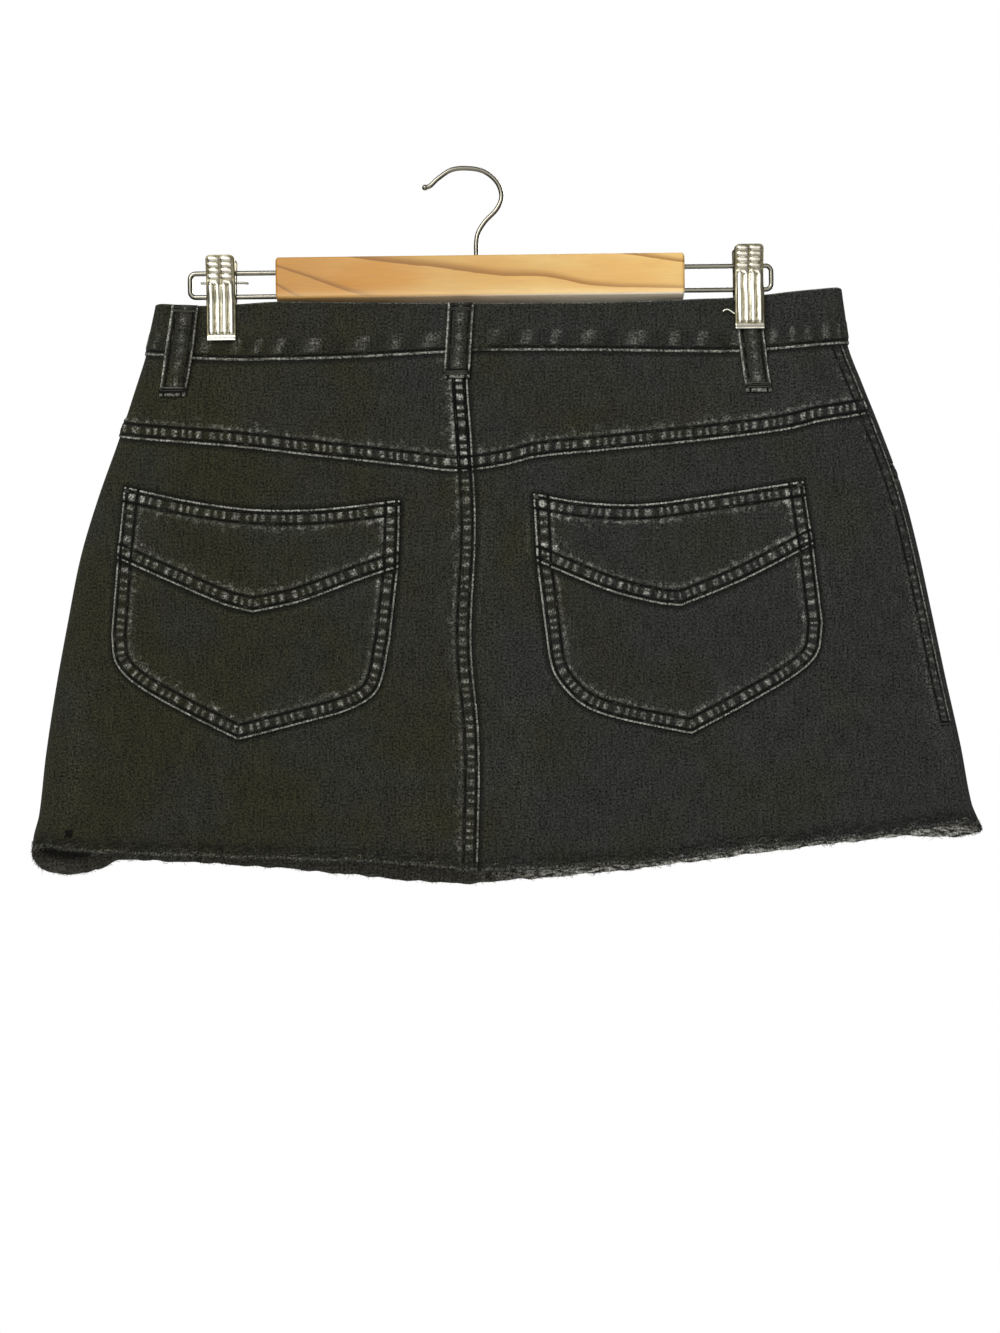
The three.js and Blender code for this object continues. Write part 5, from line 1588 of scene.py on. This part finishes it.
barMake = {
    "left": -116.5, "right": 129.5, "top": -52, "foot": -76.4, "depth": 12, "corner": 1.3, "end": 2.2,
    "slope": 3.5,        # how much lower the underside lies at its far edge
    "grainLine": [(-116, -45), (-54, -53.3), (17.8, -62), (47.8, -63.6), (73, -68.7), (129, -71.8)],
    "grainSpace": [(-116, 11), (-65, 21.5), (0, 30), (60, 23), (129, 15.6)],
}
pineLook = {
    "early": tone(178, 113, 14), "pale": tone(194, 161, 100), "late": tone(126, 82, 30),
    # edge is a painted highlight along the lower edge of the faces
    # the underside is painted shade on the left and painted light on the right
    "edge": tone(226, 200, 150), "paintedShadeUnderLeft": tone(170, 132, 80), "paintedLightUnderRight": tone(236, 222, 196),
    "roughness": 0.5, "specular": 0.3, "lineStart": 0.78,
    "driftScale": (14, 60, 60), "fibreScale": (60, 700, 700), "poreScale": (170, 1500, 1500),
    # how light it is in the middle, and how that rises per metre to the right
    "shade": 0.765, "shadeAcross": 1.3,
}


def roundedSection(b, count=10):
    # a rectangle of depth and height with quarter circles at its corners, anticlockwise from the back
    y, z0, z1, r = b["depth"] / 2, b["foot"], b["top"], b["corner"]
    quarter = np.linspace(0, np.pi / 2, count)
    centres = [(y - r, z0 + r, -np.pi / 2), (y - r, z1 - r, 0), (-y + r, z1 - r, np.pi / 2),
               (-y + r, z0 + r, np.pi)]
    arcs = [np.stack([cy + r * np.cos(a + quarter), cz + r * np.sin(a + quarter)], -1)
            for cy, cz, a in centres]
    ring = []
    for i, arc in enumerate(arcs):
        ring.append(arc)
        start, end = arc[-1], arcs[(i + 1) % 4][0]
        ring.append(start + (end - start) * np.linspace(0, 1, 9)[1:-1, None])
    return np.concatenate(ring)


def addBar(b):
    # the section runs along X and draws in at both ends, where it closes on a flat face
    section = roundedSection(b)
    centre = np.array([0, (b["foot"] + b["top"]) / 2])
    # under marks the underside, which the wood material paints with shade and light
    under = smooth(b["foot"] + 1.2, b["foot"] + 0.1, section[:, 1])
    # edge marks a band just above the lower edge for a painted highlight
    edge = bell(section[:, 1], b["foot"] + 2.2, 1.3)
    low = np.clip((centre[1] - section[:, 1]) / (centre[1] - b["foot"]), 0, 1)
    section[:, 1] -= b["slope"] * low * (section[:, 0] / b["depth"] + 0.5)
    ease = b["end"] * (1 - np.cos(np.linspace(0, np.pi / 2, 8)))
    x = np.concatenate([b["left"] + ease, np.linspace(b["left"] + 6, b["right"] - 6, 80),
                        b["right"] - ease[::-1]])
    inset = np.minimum(x - b["left"], b["right"] - x)
    draw = b["end"] - np.sqrt(b["end"] ** 2 - np.maximum(b["end"] - inset, 0) ** 2)
    size = 1 - draw[:, None] / np.array([b["depth"] / 2, (b["top"] - b["foot"]) / 2])
    rings = centre + (section - centre) * size[:, None]
    points = np.concatenate([np.broadcast_to(x[:, None, None], rings.shape[:2] + (1,)), rings], -1)
    shrink = np.array([0.75, 0.5, 0.25])[:, None, None]
    caps = []
    for k in (0, -1):
        face = centre + (rings[k] - centre) * shrink
        caps.append(np.concatenate([np.full(face.shape[:2] + (1,), x[k]), face], -1))
    points = np.concatenate([caps[0][::-1], points, caps[1]])
    count = points.shape[1]
    grid = np.arange(points.shape[0] * count).reshape(-1, count)
    after = np.roll(grid, -1, 1)
    quads = np.stack([grid[:-1], after[:-1], after[1:], grid[1:]], -1).reshape(-1, 4)
    flat = points.reshape(-1, 3)
    middles = np.array([[x[0], *centre], [x[-1], *centre]])
    first = np.stack([after[0], grid[0], np.full(count, len(flat))], -1)
    last = np.stack([grid[-1], after[-1], np.full(count, len(flat) + 1)], -1)
    flat = np.concatenate([flat, middles])
    line = curveThrough(b["grainLine"])(flat[:, 0])
    space = curveThrough(b["grainSpace"])(flat[:, 0])
    ring = (line - flat[:, 2] + 0.35 * flat[:, 1]) / space
    values = {"ring": ring}
    for key, mask in (("under", under), ("edge", edge)):
        plain = np.zeros(len(shrink) * count)
        values[key] = np.concatenate([plain, np.tile(mask, len(x)), plain, [0, 0]])
    piece = addMesh("hanger_bar_wood", flat, [quads, first, last], pine, values)
    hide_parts("hanger_bar")


def makePine(look):
    # each ring fades from pale early wood to a thin dark line; short pores and fibres run along X
    paint = Paint(bpy.data.materials.new("varnished_pine"))
    place = paint.place()
    drift = paint.noise(paint.stretched(place, look["driftScale"]), detail=2)
    fine = paint.noise(paint.stretched(place, look["fibreScale"]), detail=3, roughness=0.6)
    pores = paint.noise(paint.stretched(place, look["poreScale"]), detail=2).smooth(0.66, 0.8)
    ring = paint.attribute("ring", "Fac") + (drift - 0.5) * 0.16 + (fine - 0.5) * 0.03
    share = ring.math("FRACT")
    line = share.smooth(look["lineStart"], 0.985) * share.smooth(1.0, 0.99)
    soft = share.smooth(0.35, 1.0) * 0.22
    along, depth, _ = paint.parts(place)
    pale = drift.smooth(0.35, 0.65) * 0.3 + along.smooth(-0.13, 0.05) * 0.7
    wood = paint.mix(pale, look["early"], look["pale"])
    wood = paint.mix((line * 0.6 + soft + pores * 0.14).smooth(0, 1.15), wood, look["late"])
    # painted highlight along the lower edge of the faces
    wood = paint.mix(paint.attribute("edge", "Fac") * 0.6, wood, look["edge"])
    wood = paint.scaled(wood, fine * 0.22 + along * look["shadeAcross"] + look["shade"])
    # the underside: painted shade on the left and towards the back edge, painted light on the right
    below = paint.mix(along.smooth(-0.1, 0.13), look["paintedShadeUnderLeft"], look["paintedLightUnderRight"])
    below = paint.scaled(below, 1.0 - depth.smooth(-0.004, 0.006) * 0.55 + (fine - 0.5) * 0.5)
    wood = paint.mix(paint.attribute("under", "Fac"), wood, below)
    return paint.finish(
        Base_Color=wood, Roughness=fine * 0.14 + look["roughness"] - 0.07,
        Specular_IOR_Level=look["specular"], bump=(fine - line * 0.3, 0.12, 0.35),
    )


pine = makePine(pineLook)
addBar(barMake)
print("wooden bar")

wireMake = {
    "radius": 1.5, "corner": 3.4, "sides": 18, "plug": 2.5, "hookRadius": 1.4, "tip": 1.75,
    "tipLean": (0.93, 0, 0.37), "ringEvery": 0.8,
}
rails = {
    "rail_left": {"end": -168.5, "root": -116.8, "upper": -60.3, "lower": -74.6},
    "rail_right": {"end": 182, "root": 129.8, "upper": -59.5, "lower": -73.8},
}
hookRoute = [
    (-26.2, -9.9), (-23.2, -9), (-18.6, -4.8), (-10, 0.6), (0, 1.4), (9.6, -0.7), (17.2, -7.2),
    (19.9, -15.8), (16.9, -23.4), (9.6, -31), (5.4, -38), (4.3, -44.5), (4.3, -51.7), (4.3, -54.5),
]


def sweptWire(name, route, radius, node):
    # a round wire along a route of x and z, evened out to about a millimetre between its rings
    run = runAlong(*route.T)
    even = np.linspace(0, run[-1], steps(run[-1], wireMake["ringEvery"]))
    x, z = (np.interp(even, run, route[:, k]) for k in (0, 1))
    path = np.stack([x, 0 * x, z], -1)
    points, faces, _ = tubes(path[None], radius, (0, 1, 0), wireMake["sides"])
    piece = addMesh(name, points, faces, wireNickel)
    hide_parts(node)


def addRail(name, rail, w):
    # out along the upper wire, round two quarter circles at its end, and back along the lower one
    out = np.sign(rail["end"] - rail["root"])
    angle = np.linspace(0, np.pi / 2, 60)
    root = rail["root"] - out * w["plug"]
    straight = np.linspace(0, 1, 40)
    bendX = rail["end"] - out * w["corner"] * (1 - np.sin(angle))
    top = np.stack([bendX, rail["upper"] - w["corner"] * (1 - np.cos(angle))], -1)
    foot = np.stack([bendX[::-1], rail["lower"] + w["corner"] * (1 - np.cos(angle[::-1]))], -1)
    upper = np.stack([root + (top[0, 0] - root) * straight, rail["upper"] + 0 * straight], -1)
    lower = np.stack([foot[-1, 0] + (root - foot[-1, 0]) * straight, rail["lower"] + 0 * straight], -1)
    sweptWire(f"{name}_wire", np.concatenate([upper[:-1], top, foot, lower[1:]]), w["radius"], name)


def addHook(w):
    # a smooth curve through the route, with a small round bead on its free end
    route = np.array(hookRoute)
    run = runAlong(*route.T)
    even = np.linspace(0, run[-1], 2400)
    curve = np.stack([curveThrough(list(zip(run, route[:, k])))(even) for k in (0, 1)], -1)
    sweptWire("hanger_hook_wire", curve, w["hookRadius"], "hanger_hook")
    angle = np.linspace(0.12, np.pi - 0.12, 16)
    lean = np.array(w["tipLean"])
    start = np.array([hookRoute[0][0], 0, hookRoute[0][1]])
    path = start - np.cos(angle)[:, None] * lean * w["tip"]
    points, faces, _ = tubes(path[None], (w["tip"] * np.sin(angle))[None], (0, 1, 0), 20)
    addMesh("hanger_hook_tip", points, faces, wireNickel)


for railName, railItem in rails.items():
    addRail(railName, railItem, wireMake)
addHook(wireMake)
print("hook and rails")

clips = {
    "clip_left": {"x": -149.5, "top": -50.8, "rail": "rail_left", "back": 3.0, "front": 3.0,
                  "stubs": (-3.4, 7.2)},
    "clip_right": {"x": 168, "top": -48, "rail": "rail_right", "back": 5.7, "front": 3.0,
                   "stubs": (0.6, -0.6)},
}
clipMake = {
    "width": 17.7, "height": 50.5, "sheet": 0.9, "lip": 1.4, "spread": 7.6, "waist": 4.8,
    "columns": 42, "rows": 96, "topCorner": 2.4, "flange": 2.3,
    "flutes": 4, "flutePitch": 3.95, "fluteGroove": 0.3, "fluteHeight": 1.25, "fluteFoot": 3.6,
    "pillowRows": 5, "pillowPitch": 3.35, "pillowWide": 7.2, "pillowTall": 3.1, "pillowStart": 2.5,
    "pillowHeight": 0.95,
    "pressedShare": 0.55,        # how much of the relief the back of the sheet follows
    "grooveDull": 0.85, "footDull": 0.1, "pillowDull": 0.34, "earDull": 0.2,
    "earX": {"front": 7.6, "back": 6.1}, "earTall": 10.6, "earPast": 0.9, "earBite": 0.4, "earSheet": 0.6,
    "coil": 3.6, "pin": 0.68, "coilWire": 0.62, "coilHalf": 4.3, "coilTurns": 5,
}


def railLevel(item):
    # the height halfway between the two wires that a clip slides on
    rail = rails[item["rail"]]
    return (rail["upper"] + rail["lower"]) / 2


def clipPlate(item, jaw, earX, m):
    # pressed sheet: its depth follows its height, and domes and flutes stand out of it
    pivot = railLevel(item)
    top, foot = item["top"], item["top"] - m["height"]
    line = [(top, m["spread"]), (pivot + 4.2, m["waist"]), (pivot - 4.2, m["waist"]),
            (pivot - 10.3, jaw), (foot + 2.9, jaw), (foot, jaw + m["lip"])]
    line = np.array(sorted(line))
    u = np.linspace(-1, 1, m["columns"] + 1)[None, :]
    fall = np.linspace(0, 1, m["rows"] + 1)[:, None]
    z = top - fall * m["height"] + 0 * u
    depth = sum(np.interp(z + by, line[:, 0], line[:, 1]) for by in (-1.2, -0.6, 0, 0.6, 1.2)) / 5
    cut = np.maximum(m["topCorner"] - (top - z), 0)
    narrow = m["topCorner"] - np.sqrt(m["topCorner"] ** 2 - cut**2)
    x = u * (m["width"] / 2 - narrow)
    row = np.arange(m["pillowRows"])[:, None, None]
    domes = 0
    for at in (-1, 1):
        dx = (x - at * (m["pillowWide"] / 2 + 0.25)) / (m["pillowWide"] / 2)
        dz = (z - (top - m["pillowStart"] - m["pillowPitch"] * row)) / (m["pillowTall"] / 2)
        domes = domes + np.sqrt(np.maximum(0, 1 - np.abs(dx) ** 3 - dz**2)).sum(0)
    relief = m["pillowHeight"] * domes
    centre = (np.arange(m["flutes"]) - (m["flutes"] - 1) / 2)[:, None, None] * m["flutePitch"]
    pillowFoot = top - m["pillowStart"] - m["pillowPitch"] * (m["pillowRows"] - 0.5)
    high, low = pillowFoot - 0.2, foot + m["fluteFoot"]
    end = np.maximum(0, np.maximum(z - high, low + 1.6 - z)) / 1.6
    dx = (x - centre) / (m["flutePitch"] / 2 - m["fluteGroove"])
    bars = np.sqrt(np.maximum(0, 1 - dx**2 - end**2)).sum(0)
    relief = relief + m["fluteHeight"] * bars
    above = smooth(pivot - 9, pivot - 6, z)
    turned = smooth(0.955, 1.0, np.abs(u))
    edge = 0.35 * turned * (1 - above) + m["flange"] * turned * above
    outer = depth + m["sheet"] + relief - edge
    inner = depth + m["pressedShare"] * relief - edge
    shell = [np.stack([-x, y, z], -1) for y in (outer, inner)]
    points, faces = closedShell(*shell)
    dullness = np.where(z < foot + 3.0, m["footDull"], m["grooveDull"])
    hollow = np.clip(1 - relief / 0.45, 0, 1) * dullness
    hollow = np.maximum(hollow, m["pillowDull"] * (z > pillowFoot))
    parts = [(points, faces)]
    hollows = [twice(hollow)]
    seat = m["waist"] + m["earBite"]
    for at in (-1, 1):
        # an ear runs back from the sheet towards the other plate, with its free end rounded off
        y = (np.linspace(0, 1, 9) * (seat + m["earPast"]) - m["earPast"])[None, :] + np.zeros((13, 1))
        tall = np.linspace(0.5, -0.5, 13)[:, None] * m["earTall"]
        rounded = np.sqrt(np.clip(1 - (2 * tall / m["earTall"]) ** 6, 0.05, 1))
        ear = [np.stack([0 * y + at * earX + side * m["earSheet"], seat - (seat - y) * rounded,
                         pivot + tall + 0 * y], -1) for side in (0.5, -0.5)]
        parts.append(closedShell(ear[1][:, ::-1], ear[0][:, ::-1]) if at < 0 else
                     closedShell(ear[0], ear[1]))
        hollows.append(np.full(len(parts[-1][0]), m["earDull"]))
    points, faces = joinedSets(parts)
    return points, faces, np.concatenate(hollows)


def clipSpring(item, m):
    # a helix round X, with an arm at each end that runs up behind a plate, and a straight pin through it
    pivot = railLevel(item)
    t = np.linspace(0, 1, 200)
    angle = t * m["coilTurns"] * 2 * np.pi
    coil = np.stack([(2 * t - 1) * m["coilHalf"], m["coil"] * np.cos(angle),
                     pivot + m["coil"] * np.sin(angle)], -1)
    arm = np.linspace(0, 1, 24)[:, None]
    up = item["top"] - 5 - pivot
    front = coil[-1] + arm * np.array([0.3, 0.6, up]) + np.array([0, 1.5, 0]) * arm**2
    back = coil[0] + arm * np.array([-0.3, -2 * m["coil"] - 0.6, 0]) * np.minimum(1, arm * 3)
    back = back + arm * np.array([0, -1.2, up])
    path = np.concatenate([back[:0:-1], coil, front[1:]])
    half = m["width"] / 2
    x = np.linspace(-half + item["stubs"][0], half + item["stubs"][1], 60)
    past = np.maximum(0, np.abs(x) - half)
    pin = np.stack([x, 0 * x - 0.4, pivot + 1.2 + 0.1 * past - 0.02 * past**2], -1)
    coilTube = tubes(path[None], m["coilWire"], (1, 0.02, 0), 10)[:2]
    pinTube = tubes(pin[None], m["pin"], (0, 1, 0), 10)[:2]
    return joinedSets([coilTube, pinTube])


for clipName, clipItem in clips.items():
    for jawSide, turnBy in (("front", 1), ("back", -1)):
        plate, plateFaces, hollow = clipPlate(clipItem, clipItem[jawSide],
                                              clipMake["earX"][jawSide], clipMake)
        plate = plate * [turnBy, turnBy, 1] + [clipItem["x"], 0, 0]
        plateName = f"{clipName}_{jawSide}_plate"
        piece = addMesh(f"{plateName}_pressed", plate, plateFaces, nickel,
                        {"hollow": hollow})
        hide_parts(plateName)
    coilPoints, coilFaces = clipSpring(clipItem, clipMake)
    piece = addMesh(f"{clipName}_spring_wire", coilPoints + [clipItem["x"], 0, 0], coilFaces,
                    wireNickel)
    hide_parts(f"{clipName}_spring")
print("clips")

springEnd = {
    "line": [(152, -87.7), (153.2, -86.8), (154.8, -86.5), (156.4, -87.2), (158.6, -88.8),
             (161.5, -90.4)],
    "depth": -4.9, "radius": 0.5,
}


def addSpringEnd(e):
    # the bent end of a spring, which shows beside the right clip
    run = np.linspace(0, 1, len(e["line"]))
    even = np.linspace(0, 1, 30)
    x, z = (curveThrough([(at, row[k]) for at, row in zip(run, e["line"])])(even) for k in (0, 1))
    path = np.stack([x, np.full_like(x, e["depth"]), z], -1)
    points, faces, _ = tubes(path[None], e["radius"], (0, 1, 0), 10)
    addMesh("clip_right_spring_end", points, faces, nickel)


addSpringEnd(springEnd)
